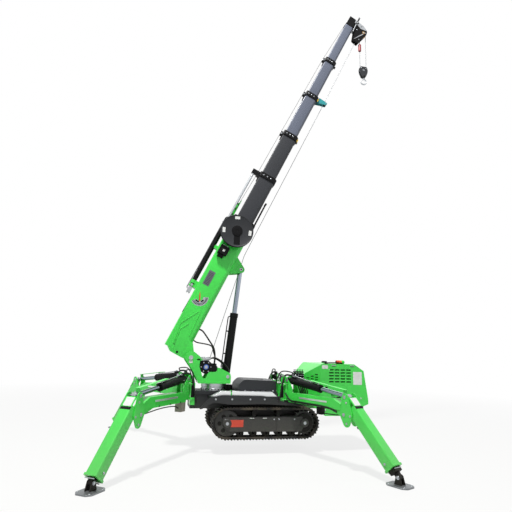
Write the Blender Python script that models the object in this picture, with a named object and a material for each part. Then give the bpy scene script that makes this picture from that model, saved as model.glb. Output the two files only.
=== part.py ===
"""Spider crane: narrow crawler chassis, four outriggers, slewing turret and a
six part luffing boom with winch, cable reel, hook block and hook.

Metres, +Z up, outrigger pads on z = 0. The boom reaches toward +X, the engine
end, and the machine's own front is at -X, so its left side is at -Y.
"""
import bpy
import bmesh
from math import sin, cos, asin, atan2, hypot, pi, radians, sqrt
from mathutils import Matrix, Vector

for old in list(bpy.data.objects):
    bpy.data.objects.remove(old, do_unlink=True)

# Driving dimensions
RUN = 0.0005            # running or seating gap between two pieces
SEAT = 0.0003           # gap between faces that rest on each other

TRACK_X0, TRACK_X1 = -0.564, 0.936
TRACK_Z = 0.39          # height of the track's axles
TRACK_R = 0.21          # outer radius over the lugs
TRACK_IN, TRACK_OUT = 0.20, 0.40
LUGS = 32
BELT = 0.022
LUG = 0.014

SPINE_HALF = 0.19
SPINE_Z0, SPINE_Z1 = 0.56, 0.75
DECK_Z0, DECK_Z1 = 0.69, 0.735

SLEW_X = -0.506
SLEW_R = 0.178
PEDESTAL_Z = 0.79
RING_Z = 0.885
TURRET_Z0, TURRET_Z1 = 0.8855, 0.917
TURRET_IN, TURRET_OUT = 0.162, 0.178

PIVOT_X, PIVOT_Z = -0.861, 1.229
LUFF = radians(64.6)
LUFF_LOW = (-0.337, 0.98)
LUFF_HIGH = (1.46, -0.06)
LUG_IN = 0.067          # inner face of the lugs that straddle the luffing barrel
WINCH_X, WINCH_Z = -0.646, 1.106

BOOM_Z = 0.235          # centre line of the boom above its pivot
WALL = 0.006
COLLAR = 0.08
COLLAR_RIM = 0.014
SECTION_LENGTH = 2.12
# depth, width and outer end of each boom section, root section first
SECTIONS = [
    (0.335, 0.260, 2.16),
    (0.265, 0.214, 3.00),
    (0.239, 0.190, 3.85),
    (0.210, 0.167, 4.71),
    (0.182, 0.144, 5.50),
    (0.154, 0.121, 6.33),
]
TELE_Z = 0.475          # telescoping cylinder on the boom's upper side
TELE_Y = -0.05
REEL = (1.90, 0.276)
REEL_R = 0.245
SHEAVE = (6.374, -0.039)
SHEAVE_R = 0.052
ROPE_R = 0.005
BLOCK_DROP = 0.73       # from the head sheave's axle to the block's axle

LEG_Y = 0.328
KNEE_R, KNEE_Z = 1.10, 0.635
FOOT_Z = 0.085
TUBE_OFF = 0.1216       # outer tube's axis from the knee pin
TUBE = 0.135
TUBE_START = 0.005      # the outer tube's upper end, clear of the folding arm
TUBE_END = 0.775
CYL_R, CYL_Z = 0.06, 0.96
EYE = (-0.140, 0.143)   # rod eye's pin, seen from the knee pin
CORNERS = {
    # pivot X, side of Y, heading of the leg from +X, radius of the foot
    "front_left": (-0.91, -1, radians(180 + 55.4), 1.707),
    "front_right": (-0.91, 1, radians(180 - 55.4), 1.707),
    "rear_left": (0.48, -1, radians(-64.8), 1.789),
    "rear_right": (0.48, 1, radians(64.8), 1.789),
}

GREEN = (0.10, 0.55, 0.13)
DARK = (0.045, 0.05, 0.06)
BOOM_GREY = (0.10, 0.12, 0.15)
BLACK = (0.015, 0.015, 0.017)
STEEL = (0.62, 0.63, 0.65)
GREY = (0.35, 0.36, 0.37)
RED = (0.60, 0.03, 0.02)
BRASS = (0.70, 0.48, 0.14)

parts = bpy.data.collections.new("spider_crane")
cutters = bpy.data.collections.new("cutters")
for group in (parts, cutters):
    bpy.context.scene.collection.children.link(group)


# Shapes
def piece(mesh):
    ob = bpy.data.objects.new("piece", mesh)
    cutters.objects.link(ob)
    ob.hide_render = True
    ob.display_type = 'WIRE'
    return ob


def from_bmesh(bm):
    mesh = bpy.data.meshes.new("piece")
    bm.to_mesh(mesh)
    bm.free()
    return piece(mesh)


def box(x0, x1, y0, y1, z0, z1):
    bm = bmesh.new()
    place = Matrix.Translation(((x0 + x1) / 2, (y0 + y1) / 2, (z0 + z1) / 2))
    size = Matrix.Diagonal((abs(x1 - x0), abs(y1 - y0), abs(z1 - z0), 1))
    bmesh.ops.create_cube(bm, size=1, matrix=place @ size)
    return from_bmesh(bm)


def rod(a, b, r, sides=16, r_end=None):
    a, b = Vector(a), Vector(b)
    place = Matrix.Translation((a + b) / 2)
    turn = (b - a).to_track_quat('Z', 'Y').to_matrix().to_4x4()
    bm = bmesh.new()
    bmesh.ops.create_cone(bm, cap_ends=True, segments=sides, radius1=r,
                          radius2=r if r_end is None else r_end,
                          depth=(b - a).length, matrix=place @ turn)
    return from_bmesh(bm)


def solid_from_curve(ob):
    bpy.context.view_layer.update()
    graph = bpy.context.evaluated_depsgraph_get()
    mesh = bpy.data.meshes.new_from_object(ob.evaluated_get(graph))
    mesh.transform(ob.matrix_world)
    bpy.data.objects.remove(ob, do_unlink=True)
    bm = bmesh.new()
    bm.from_mesh(mesh)
    bmesh.ops.remove_doubles(bm, verts=bm.verts, dist=0.00002)
    bmesh.ops.recalc_face_normals(bm, faces=bm.faces)
    return from_bmesh(bm)


def prism(points, low, high, along='Y'):
    """A flat outline carried from low to high along one axis."""
    curve = bpy.data.curves.new("outline", 'CURVE')
    curve.dimensions = '2D'
    curve.fill_mode = 'BOTH'
    curve.extrude = (high - low) / 2
    line = curve.splines.new('POLY')
    line.points.add(len(points) - 1)
    for point, (u, v) in zip(line.points, points):
        point.co = (u, v, 0, 1)
    line.use_cyclic_u = True
    ob = bpy.data.objects.new("outline", curve)
    cutters.objects.link(ob)
    mid = (low + high) / 2
    if along == 'Y':
        ob.matrix_world = (Matrix.Translation((0, mid, 0))
                           @ Matrix.Rotation(pi / 2, 4, 'X'))
    elif along == 'Z':
        ob.matrix_world = Matrix.Translation((0, 0, mid))
    else:
        turn = Matrix(((0, 0, 1, 0), (1, 0, 0, 0), (0, 1, 0, 0), (0, 0, 0, 1)))
        ob.matrix_world = Matrix.Translation((mid, 0, 0)) @ turn
    return solid_from_curve(ob)


def tube(points, r, sides=2):
    """A bent round bar through the points."""
    curve = bpy.data.curves.new("bar", 'CURVE')
    curve.dimensions = '3D'
    curve.bevel_depth = r
    curve.bevel_resolution = sides
    curve.use_fill_caps = True
    line = curve.splines.new('POLY')
    line.points.add(len(points) - 1)
    for point, co in zip(line.points, points):
        point.co = (*co, 1)
    ob = bpy.data.objects.new("bar", curve)
    cutters.objects.link(ob)
    return solid_from_curve(ob)


def ring(centre, r, count, start=0.0, end=2 * pi):
    closed = abs(end - start - 2 * pi) < 1e-6
    steps = count if closed else count - 1
    return [(centre[0] + r * cos(start + (end - start) * i / steps),
             centre[1] + r * sin(start + (end - start) * i / steps))
            for i in range(count)]


def hull(points):
    """Outer outline of a cloud of points, counter clockwise."""
    points = sorted(set((round(x, 6), round(y, 6)) for x, y in points))

    def half(run):
        out = []
        for p in run:
            while len(out) > 1 and ((out[-1][0] - out[-2][0]) * (p[1] - out[-2][1])
                                    - (out[-1][1] - out[-2][1])
                                    * (p[0] - out[-2][0])) <= 1e-9:
                out.pop()
            out.append(p)
        return out[:-1]
    return half(points) + half(points[::-1])


def around(*items, count=10):
    """Outline drawn tight around circles (x, y, r) and points (x, y)."""
    cloud = []
    for item in items:
        if len(item) == 3:
            cloud += ring(item[:2], item[2], count)
        else:
            cloud.append(item)
    return hull(cloud)


def inset(points, d):
    """The outline moved inward by d, for a counter clockwise outline."""
    out = []
    for i, p in enumerate(points):
        a, c = Vector(points[i - 1]), Vector(points[(i + 1) % len(points)])
        p = Vector(p)
        u, v = (p - a).normalized(), (c - p).normalized()
        n1, n2 = Vector((-u.y, u.x)), Vector((-v.y, v.x))
        out.append(tuple(p + (n1 + n2) * (d / (1 + n1.dot(n2)))))
    return out


def sheave(centre, width, r_core, r_rim, bore, groove=0.014):
    """A grooved wheel that turns about Y."""
    x, z = centre
    cheek = (width - groove) / 2
    pieces = [rod((x, -width / 2, z), (x, width / 2, z), r_core, 16),
              rod((x, -width / 2, z), (x, -width / 2 + cheek, z), r_rim, 16),
              rod((x, width / 2 - cheek, z), (x, width / 2, z), r_rim, 16)]
    return pieces, [rod((x, -width, z), (x, width, z), bore, 14)]


# Assembly
where = {}


def pivot(name, place, parent=None):
    ob = bpy.data.objects.new(name, None)
    parts.objects.link(ob)
    where[name] = place
    ob.matrix_basis = place
    if parent:
        ob.parent = bpy.data.objects[parent]
        ob.matrix_parent_inverse = where[parent].inverted()
    return name


def paint(name, colour, metal, rough):
    mat = bpy.data.materials.new(name)
    mat.use_nodes = True
    shader = mat.node_tree.nodes["Principled BSDF"]
    shader.inputs["Base Color"].default_value = (*colour, 1)
    shader.inputs["Metallic"].default_value = metal
    shader.inputs["Roughness"].default_value = rough
    return mat


def fuse(name, colour, pieces, cuts=(), place=Matrix.Identity(4), parent=None,
         metal=0.0, rough=0.45):
    """Join the pieces into one body, take the cuts away and place it."""
    base = pieces[0]
    for label, operation, others in (("join", 'UNION', pieces[1:]),
                                     ("cut", 'DIFFERENCE', list(cuts))):
        if not others:
            continue
        group = bpy.data.collections.new(label)
        cutters.children.link(group)
        for ob in others:
            group.objects.link(ob)
        mod = base.modifiers.new(label, 'BOOLEAN')
        mod.operation = operation
        mod.operand_type = 'COLLECTION'
        mod.collection = group
        mod.solver = 'EXACT'
    bpy.context.view_layer.update()
    graph = bpy.context.evaluated_depsgraph_get()
    mesh = bpy.data.meshes.new_from_object(base.evaluated_get(graph))
    mesh.name = name
    for ob in list(pieces) + list(cuts):
        bpy.data.objects.remove(ob, do_unlink=True)
    for group in list(cutters.children):
        bpy.data.collections.remove(group)
    bm = bmesh.new()
    bm.from_mesh(mesh)
    bmesh.ops.remove_doubles(bm, verts=bm.verts, dist=0.00001)
    whole = bm.copy()
    bmesh.ops.dissolve_limit(bm, angle_limit=radians(0.05),
                             verts=bm.verts, edges=bm.edges)
    simple = bm.copy()
    bmesh.ops.triangulate(simple, faces=simple.faces)
    if all(len(edge.link_faces) == 2 for edge in simple.edges):
        bm.to_mesh(mesh)
    else:
        whole.to_mesh(mesh)
    for kept in (bm, whole, simple):
        kept.free()
    ob = bpy.data.objects.new(name, mesh)
    mesh.materials.clear()
    mesh.materials.append(paint(name, colour, metal, rough))
    parts.objects.link(ob)
    mesh.shade_smooth()
    mesh.set_sharp_from_angle(angle=radians(30))
    ob.matrix_basis = place
    if parent:
        ob.parent = bpy.data.objects[parent]
        ob.matrix_parent_inverse = where[parent].inverted()
    return ob


def at(x, y, z, turn=None):
    place = Matrix.Translation((x, y, z))
    return place @ turn if turn else place


# Chassis
pivot("base", Matrix.Identity(4))
cover_side = [(0.762, 0.66), (0.80, 0.66), (1.015, 0.483), (1.254, 0.482),
              (1.674, 0.64), (1.674, 0.70), (1.61, 1.099), (1.465, 1.189),
              (0.966, 1.185), (0.787, 1.056), (0.762, 1.03)]
COVER_HALF = 0.398
COVER_WALL = 0.006
cover_plan = [(0.762, 0.22), (0.762, -0.22), (0.948, -COVER_HALF),
              (1.69, -COVER_HALF), (1.69, COVER_HALF), (0.948, COVER_HALF)]
floor_plan = [(0.55, 0.18), (0.55, -0.18), (0.7683, -0.2173), (0.9505, -0.3917),
              (1.60, -0.3917), (1.60, 0.3917), (0.9505, 0.3917), (0.7683, 0.2173)]
beam = [(-0.735, 0.574), (-0.70, 0.574), (-0.55, 0.66), (-0.323, 0.63),
        (0.119, 0.638), (0.60, 0.618), (0.662, 0.612), (0.355, 0.685),
        (0.158, 0.743), (-0.437, 0.753), (-0.61, 0.714)]
chassis = [
    box(-0.844, 0.72, -SPINE_HALF, SPINE_HALF, SPINE_Z0, SPINE_Z1),
    box(-0.45, 0.85, -0.165, 0.165, 0.30, SPINE_Z0 + 0.01),
    box(-0.60, 0.36, -0.365, 0.365, DECK_Z0, DECK_Z1),
    box(-0.783, SLEW_X + 0.152, -0.20, 0.20, SPINE_Z1 - 0.01, PEDESTAL_Z),
    prism(floor_plan, 0.60, 0.64, 'Z'),
    box(1.55, 1.60, -0.25, 0.25, 0.635, 0.70),
]
strip = [(-0.59, DECK_Z1 - 0.004), (0.34, DECK_Z1 - 0.004), (0.265, 0.793),
         (-0.434, 0.803)]
for side in (-1, 1):
    low, high = sorted((side * 0.3605, side * 0.385))
    chassis.append(prism(beam, low, high))
    low, high = sorted((side * 0.262, side * 0.345))
    chassis.append(prism(strip, low, high))
fuse("chassis", DARK, chassis, parent="base")

deck_outline = [(-0.195, DECK_Z1 + SEAT), (0.355, DECK_Z1 + SEAT), (0.341, 0.935),
                (-0.12, 0.95), (-0.195, 0.876)]
fuse("deck_box", GREEN,
     [prism([(x, z + (SPINE_Z1 - DECK_Z1 if z < 0.74 else 0)) for x, z in deck_outline],
            -0.25, 0.25)], parent="base")
fuse("slew_ring", STEEL,
     [rod((SLEW_X, 0, PEDESTAL_Z + SEAT), (SLEW_X, 0, RING_Z), SLEW_R, 28),
      rod((-0.30, -0.10, PEDESTAL_Z + SEAT - 0.0), (-0.30, -0.10, 0.87), 0.045, 12),
      box(-0.37, -0.29, -0.13, -0.07, 0.80, 0.86)],
     parent="base", metal=0.8, rough=0.35)


# Tracks
def stadium(r, count):
    x0, x1 = TRACK_X0 + TRACK_R, TRACK_X1 - TRACK_R
    return (ring((x1, TRACK_Z), r, count, -pi / 2, pi / 2)
            + ring((x0, TRACK_Z), r, count, pi / 2, 3 * pi / 2))


def lug_place(s):
    """Where a lug sits, at the distance s along the belt's outer face."""
    x0, x1 = TRACK_X0 + TRACK_R, TRACK_X1 - TRACK_R
    straight, r = x1 - x0, TRACK_R - LUG
    if s < straight:
        return x0 + s, TRACK_Z - r, -pi / 2
    s -= straight
    if s < pi * r:
        a = -pi / 2 + s / r
        return x1 + r * cos(a), TRACK_Z + r * sin(a), a
    s -= pi * r
    if s < straight:
        return x1 - s, TRACK_Z + r, pi / 2
    a = pi / 2 + (s - straight) / r
    return x0 + r * cos(a), TRACK_Z + r * sin(a), a


def lugs(y0, y1):
    total = 2 * (TRACK_X1 - TRACK_X0 - 2 * TRACK_R) + 2 * pi * (TRACK_R - LUG)
    out = []
    for i in range(LUGS):
        x, z, a = lug_place((i + 0.5) / LUGS * total)
        bm = bmesh.new()
        place = at(x, (y0 + y1) / 2, z, Matrix.Rotation(-a, 4, 'Y'))
        size = Matrix.Diagonal((LUG + 0.004, y1 - y0 - 0.002, 0.030, 1))
        shift = Matrix.Translation(((LUG - 0.004) / 2, 0, 0))
        bmesh.ops.create_cube(bm, size=1, matrix=place @ shift @ size)
        out.append(from_bmesh(bm))
    return out


belt_r = TRACK_R - LUG - BELT
wheel_r = belt_r * cos(pi / 24) - SEAT
axle_x = (TRACK_X0 + TRACK_R, TRACK_X1 - TRACK_R)
frame_outline = [(-0.417, 0.472), (-0.412, 0.346), (-0.330, 0.283), (0.68, 0.277),
                 (0.72, 0.36), (0.70, 0.472)]
for side, name in ((-1, "left"), (1, "right")):
    def span(a, b):
        return sorted((side * a, side * b))
    y0, y1 = span(TRACK_IN, TRACK_OUT)
    fuse("track_" + name, BLACK, [prism(stadium(TRACK_R - LUG, 13), y0, y1)]
         + lugs(y0, y1),
         [prism(stadium(belt_r, 13), y0 - 0.01, y1 + 0.01)],
         parent="base", rough=0.85)
    f0, f1 = span(0.225, 0.372)
    w0, w1 = span(0.24, 0.36)
    frame = [prism(frame_outline, f0, f1)]
    for x in axle_x:
        frame.append(rod((x, w0, TRACK_Z), (x, w1, TRACK_Z), wheel_r, 20))
        frame.append(rod((x, f0, TRACK_Z), (x, span(0.225, 0.392)[side > 0], TRACK_Z)
                         if side > 0 else (x, f1, TRACK_Z), 0.06, 12))
    low = TRACK_Z - belt_r + SEAT
    for i in range(5):
        x = axle_x[0] + (axle_x[1] - axle_x[0]) * (i + 1) / 6
        frame.append(rod((x, w0, low + 0.05), (x, w1, low + 0.05), 0.05, 10))
    for x in (0.02, 0.36):
        frame.append(rod((x, w0, TRACK_Z + belt_r - 0.0353),
                         (x, w1, TRACK_Z + belt_r - 0.0353), 0.035, 10))
        s0, s1 = span(0.27, 0.33)
        frame.append(box(x - 0.02, x + 0.02, s0, s1, 0.46, TRACK_Z + wheel_r - 0.03))
    s0, s1 = span(0.165 + SEAT, 0.235)
    frame.append(box(-0.22, -0.10, s0, s1, 0.36, 0.46))
    frame.append(box(0.46, 0.58, s0, s1, 0.36, 0.46))
    fuse("track_frame_" + name, DARK, frame, parent="base")

# Engine end
outer = prism(cover_side, -COVER_HALF, COVER_HALF)
plan = prism(cover_plan, 0.40, 1.30, 'Z')
cut = outer.modifiers.new("plan", 'BOOLEAN')
cut.operation, cut.object, cut.solver = 'INTERSECT', plan, 'EXACT'
shell = solid_from_curve(outer)
inner_side = inset(cover_side, COVER_WALL)
inner_side = ([(inner_side[0][0], 0.40), (1.65, 0.40)]
              + [p for p in inner_side if p[1] > 0.67 and p[0] > 0.765])
inner = prism(inner_side, -COVER_HALF + COVER_WALL, COVER_HALF - COVER_WALL)
inner_plan = prism(inset(cover_plan, COVER_WALL), 0.30, 1.30, 'Z')
cut = inner.modifiers.new("plan", 'BOOLEAN')
cut.operation, cut.object, cut.solver = 'INTERSECT', inner_plan, 'EXACT'
hollow = solid_from_curve(inner)
vents = []
for side in (-1, 1):
    low, high = sorted((side * 0.35, side * 0.45))
    for i in range(3):
        for k in range(4):
            x, z = 1.085 + i * 0.115, 0.945 + k * 0.050
            vents.append(box(x, x + 0.090, low, high, z, z + 0.020))
fuse("engine_cover", GREEN, [shell], [hollow] + vents, parent="base")
for ob in (plan, inner_plan):
    bpy.data.objects.remove(ob, do_unlink=True)
fuse("engine_block", DARK,
     [box(0.92, 1.50, -0.24, 0.24, 0.64 + SEAT, 0.95),
      box(1.00, 1.40, -0.14, 0.14, 0.94, 1.08)], parent="base")
fuse("valve_bank", BLACK,
     [box(0.60, 0.75, -0.25, -0.17, 0.955, 1.045),
      box(0.64, 0.70, -0.235, -0.175, SPINE_Z1 + SEAT, 0.96)]
     + [rod((0.62 + 0.028 * i, -0.21, 1.04), (0.62 + 0.028 * i, -0.215, 1.09), 0.006, 8)
        for i in range(5)]
     + [box(0.64, 0.70, -0.235, -0.165, SPINE_Z1 + SEAT, SPINE_Z1 + 0.012)],
     parent="base")

# Outrigger brackets
for name, mark in (("front", -1), ("rear", 1)):
    x_pivot = CORNERS[name + "_left"][0]
    near, far = x_pivot - mark * 0.05, x_pivot - mark * 0.11
    solids, bores = [], []
    for side in (-1, 1):
        y = side * LEG_Y
        plate = around((x_pivot, y, 0.06), (far, side * 0.36), (near, side * 0.36),
                       (far, side * (SPINE_HALF + SEAT)),
                       (near, side * (SPINE_HALF + SEAT)))
        solids.append(prism(plate, 0.892, 0.904, 'Z'))
        solids.append(prism(plate, 0.693, 0.705, 'Z'))
        x0, x1 = sorted((near, far))
        y0, y1 = sorted((side * 0.36, side * (SPINE_HALF + SEAT)))
        solids.append(box(x0, x1, y0, y1, 0.625, 0.904))
        bores.append(rod((x_pivot, y, 0.60), (x_pivot, y, 1.0), 0.0264, 14))
    x0, x1 = sorted((near, far))
    solids.append(box(x0, x1, -SPINE_HALF - 0.01, SPINE_HALF + 0.01,
                      SPINE_Z1 + SEAT, SPINE_Z1 + 0.04))
    fuse("leg_bracket_" + name, GREEN, solids, bores, parent="base")

# Outriggers
for name, (x_pivot, side, heading, foot_r) in CORNERS.items():
    root = at(x_pivot, side * LEG_Y, 0, Matrix.Rotation(heading, 4, 'Z'))
    pivot(name + "_swivel", root, "base")
    # rigid arm with its pivot tube, cylinder ears and knee boss
    ear = [(0.075, 0.77), (0.17, 0.77), (0.17, 0.856), (0.05, 1.003),
           (-0.02, 1.012), (-0.075, 0.972), (-0.07, 0.911), (0.075, 0.911)]
    slope = [(KNEE_R - 0.20, 0.80), (KNEE_R - 0.08, 0.745)]
    gusset = around((KNEE_R - 0.30, 0.79), (KNEE_R - 0.30, 0.68),
                    (slope[0][0], 0.79), (slope[1][0] + 0.01, slope[1][1] - 0.01),
                    (KNEE_R, KNEE_Z, 0.045))
    arm = [prism([(0.095, 0.674), (slope[1][0], 0.674), slope[1], slope[0],
                  (0.095, 0.80)], -0.0555, 0.0555),
           box(0.04, 0.10, -0.0545, 0.0545, 0.711, 0.7995),
           rod((0, 0, 0.7055), (0, 0, 0.8915), 0.045, 12),
           rod((0, 0, 0.688), (0, 0, 0.9095), 0.0255, 14),
           prism(ear, 0.047, 0.055), prism(ear, -0.055, -0.047),
           prism(gusset, -0.05, 0.05),
           rod((KNEE_R, -0.0665, KNEE_Z), (KNEE_R, 0.0665, KNEE_Z), 0.045, 12),
           rod((CYL_R, -0.062, CYL_Z), (CYL_R, 0.062, CYL_Z), 0.015, 8)]
    fuse(name + "_arm", GREEN, arm,
         [rod((KNEE_R, -0.1, KNEE_Z), (KNEE_R, 0.1, KNEE_Z), 0.0208, 14)],
         root, name + "_swivel")

    # outer leg, seen from the knee pin with x along its tube
    rise = KNEE_Z - FOOT_Z
    reach = foot_r - KNEE_R
    span_ = hypot(reach, rise)
    dip = atan2(rise, reach) + asin(TUBE_OFF / span_)
    along = sqrt(span_ ** 2 - TUBE_OFF ** 2)
    knee = root @ at(KNEE_R, 0, KNEE_Z, Matrix.Rotation(dip, 4, 'Y'))
    pivot(name + "_knee", knee, name + "_swivel")
    cheek = around((-0.130, 0.1475, 0.047), (0.0885, -0.0311, 0.053),
                   (0.039, 0.0521, 0.06), (-0.0104, -0.0042, 0.055), count=8)
    half = TUBE / 2
    z0, z1 = TUBE_OFF - half, TUBE_OFF + half
    outer_leg = [box(TUBE_START, TUBE_END, -half, half, z0, z1),
                 box(TUBE_END - 0.03, TUBE_END, -half - 0.009, half + 0.009,
                     z0 - 0.009, z1 + 0.009),
                 box(-0.10, TUBE_START + 0.02, -half, half, z1 - 0.008, z1),
                 prism(cheek, half - 0.0005, half + 0.0125),
                 prism(cheek, -half - 0.0125, 0.0005 - half),
                 rod((0, -0.088, 0), (0, 0.088, 0), 0.020, 14),
                 rod((EYE[0], 0.0305, EYE[1]), (EYE[0], 0.086, EYE[1]), 0.015, 8),
                 rod((EYE[0], -0.086, EYE[1]), (EYE[0], -0.0305, EYE[1]), 0.015, 8)]
    fuse(name + "_outer_leg", GREEN, outer_leg,
         [box(TUBE_START + 0.015, TUBE_END - 0.03, -half + 0.006, half - 0.006,
              z0 + 0.006, z1 - 0.006),
          box(TUBE_END - 0.04, TUBE_END + 0.01, -0.053, 0.053,
              TUBE_OFF - 0.053, TUBE_OFF + 0.053)],
         knee, name + "_knee")

    # inner leg slides in the outer one
    pivot(name + "_slide", knee, name + "_knee")
    h = 0.0525
    shoe = half - 0.006 - RUN
    fuse(name + "_inner_leg", GREY,
         [box(0.10, along - 0.045, -h, h, TUBE_OFF - h, TUBE_OFF + h),
          box(0.10, 0.15, -shoe, shoe, TUBE_OFF - shoe, TUBE_OFF + shoe),
          prism(around((along, TUBE_OFF, 0.027), (along - 0.05, TUBE_OFF - 0.03),
                       (along - 0.05, TUBE_OFF + 0.03)), -0.022, 0.022)],
         [rod((along, -0.05, TUBE_OFF), (along, 0.05, TUBE_OFF), 0.0127, 12)],
         knee, name + "_slide", metal=0.5)

    # foot, seen from the ground below its pin
    foot = root @ at(foot_r, 0, 0)
    pivot(name + "_ankle", root @ at(foot_r, 0, FOOT_Z), name + "_slide")
    pad = [(-0.135, -0.06), (-0.09, -0.10), (0.09, -0.10), (0.135, -0.06),
           (0.135, 0.06), (0.09, 0.10), (-0.09, 0.10), (-0.135, 0.06)]
    clevis = around((0, FOOT_Z, 0.028), (-0.05, 0.014), (0.05, 0.014), count=8)
    fuse(name + "_foot", GREY,
         [prism(pad, 0, 0.016, 'Z'), prism(clevis, 0.0225, 0.034),
          prism(clevis, -0.034, -0.0225),
          rod((0, -0.042, FOOT_Z), (0, 0.042, FOOT_Z), 0.012, 12)],
         (), foot, name + "_ankle", metal=0.4)

    # lifting cylinder, seen from its base pin with x along its rod
    eye = at(KNEE_R, 0, KNEE_Z, Matrix.Rotation(dip, 4, 'Y')) @ Vector((EYE[0], 0, EYE[1]))
    length = hypot(eye.x - CYL_R, eye.z - CYL_Z)
    fall = atan2(CYL_Z - eye.z, eye.x - CYL_R)
    line = root @ at(CYL_R, 0, CYL_Z, Matrix.Rotation(fall, 4, 'Y'))
    pivot(name + "_cylinder", line, name + "_swivel")
    fuse(name + "_barrel", BLACK,
         [rod((0.05, 0, 0), (0.59, 0, 0), 0.048, 12),
          rod((0, -0.0465, 0), (0, 0.0465, 0), 0.034, 10),
          rod((0.02, 0, 0), (0.06, 0, 0), 0.034, 8),
          rod((0.56, 0, 0), (0.60, 0, 0), 0.052, 12)],
         [rod((0, -0.1, 0), (0, 0.1, 0), 0.0158, 12),
          rod((0.08, 0, 0), (0.62, 0, 0), 0.0285, 14)],
         line, name + "_cylinder")
    pivot(name + "_rod_slide", line, name + "_cylinder")
    fuse(name + "_rod", STEEL,
         [rod((0.36, 0, 0), (length - 0.02, 0, 0), 0.028, 14),
          rod((length, -0.030, 0), (length, 0.030, 0), 0.031, 12),
          box(length - 0.075, length - 0.045, -0.018, 0.018, 0.0, 0.075),
          box(0.42, length - 0.045, -0.028, 0.028, 0.068, 0.075)],
         (), line, name + "_rod_slide", metal=0.9, rough=0.25)

# Turret
pivot("slew", at(SLEW_X, 0, RING_Z), "base")
turret_side = [(-0.742, TURRET_Z1 - 0.02), (-0.294, TURRET_Z1 - 0.02), (-0.291, 0.984),
               (-0.303, 1.026), (-0.475, 1.106), (-0.493, 1.044), (-0.611, 1.037),
               (-0.640, 0.965), (-0.666, 0.949), (-0.690, 0.965), (-0.705, 1.024),
               (-0.741, 1.112), (-0.73, 1.195), (-0.722, 1.237), (-0.785, 1.285),
               (-0.825, 1.314), (-0.866, 1.322), (-0.905, 1.310), (-0.935, 1.275),
               (-0.945, 1.232), (-0.929, 1.191), (-0.83, 1.06), (-0.79, 0.98)]
base_plan = around((SLEW_X, 0, 0.19), (-0.742, TURRET_OUT), (-0.742, -TURRET_OUT),
                   (-0.294, TURRET_OUT), (-0.294, -TURRET_OUT), count=16)
low_x, low_z = LUFF_LOW
luff_lug = around((low_x, low_z, 0.045), (low_x - 0.09, 0.91), (low_x + 0.042, 0.91))
turret = [prism(base_plan, TURRET_Z0, TURRET_Z1, 'Z'),
          box(-0.775, -0.70, -TURRET_OUT, TURRET_OUT, 1.195, 1.215),
          box(-0.555, -0.49, -0.10, 0.10, TURRET_Z1 - 0.01, 1.15),
          box(-0.716, -0.575, -0.06, 0.06, 1.20, 1.24),
          rod((PIVOT_X, -0.19, PIVOT_Z), (PIVOT_X, 0.19, PIVOT_Z), 0.030, 14),
          rod((low_x, -0.185, low_z), (low_x, 0.185, low_z), 0.024, 14)]
for side in (-1, 1):
    low, high = sorted((side * TURRET_IN, side * TURRET_OUT))
    turret.append(prism(turret_side, low, high))
    low, high = sorted((side * 0.060, side * 0.072))
    turret.append(prism(luff_lug, low, high))
    turret.append(rod((WINCH_X, side * 0.150, WINCH_Z),
                      (WINCH_X, side * 0.172, WINCH_Z), 0.09, 14))
    turret.append(rod((WINCH_X, side * 0.02, WINCH_Z),
                      (WINCH_X, side * 0.19, WINCH_Z), 0.022, 14))
fuse("turret", GREEN, turret, parent="slew")
pivot("winch", at(WINCH_X, 0, WINCH_Z), "slew")
fuse("winch_drum", BLACK,
     [rod((WINCH_X, -0.14, WINCH_Z), (WINCH_X, 0.14, WINCH_Z), 0.055, 14),
      rod((WINCH_X, -0.14, WINCH_Z), (WINCH_X, -0.128, WINCH_Z), 0.080, 16),
      rod((WINCH_X, 0.128, WINCH_Z), (WINCH_X, 0.14, WINCH_Z), 0.080, 16)],
     [rod((WINCH_X, -0.2, WINCH_Z), (WINCH_X, 0.2, WINCH_Z), 0.0229, 14)],
     parent="winch")

# Boom root section and its fittings
boom = at(PIVOT_X, 0, PIVOT_Z, Matrix.Rotation(-LUFF, 4, 'Y'))
pivot("luff", boom, "slew")


def profile(index, grow=0.0):
    """Section across the boom: flat above, rounded below."""
    depth, width, _ = SECTIONS[index]
    corner = 0.28 * width + grow
    w, low, high = width / 2 + grow, BOOM_Z - depth / 2 - grow, BOOM_Z + depth / 2 + grow
    left = ring((corner - w, low + corner), corner, 4, pi, 1.5 * pi)
    right = ring((w - corner, low + corner), corner, 4, 1.5 * pi, 2 * pi)
    return [(w, high), (-w, high)] + left + right


base_depth, base_width, base_end = SECTIONS[0]
half = base_width / 2
belly = BOOM_Z - base_depth / 2
high_x, high_z = LUFF_HIGH
root_lug = around((0, 0, 0.052), (-0.052, 0.10), (0.20, belly + 0.01), (-0.04, 0.16),
                  (0.20, 0.16))
head_lug = around((high_x, high_z, 0.052), (1.316, belly + 0.01), (1.598, belly + 0.01))
solids = [prism(profile(0), 0.0, base_end, 'X'),
          prism(profile(0, COLLAR_RIM), base_end - COLLAR, base_end, 'X'),
          prism([(-0.057, 0.09), (0.05, 0.09), (0.05, 0.395), (0.027, 0.395),
                 (-0.051, 0.296)], 0.0015 - half, half - 0.0015)]
for side in (-1, 1):
    low, high = sorted((side * (half - 0.025), side * (half - 0.001)))
    solids.append(prism(root_lug, low, high))
    low, high = sorted((side * (half - 0.01), side * (TURRET_IN - RUN)))
    solids.append(rod((0, low, 0), (0, high, 0), 0.045, 14))
    low, high = sorted((side * LUG_IN, side * (LUG_IN + 0.014)))
    solids.append(prism(head_lug, low, high))
    low, high = sorted((side * 0.0465, side * (LUG_IN + 0.018)))
    solids.append(rod((high_x, low, high_z), (high_x, high, high_z), 0.022, 12))
top = BOOM_Z + base_depth / 2
for x in (0.94, 1.55, 2.00):
    solids.append(box(x, x + 0.05, TELE_Y - 0.045, TELE_Y + 0.045, top - 0.003, 0.470))
reel_x, reel_z = REEL
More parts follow.
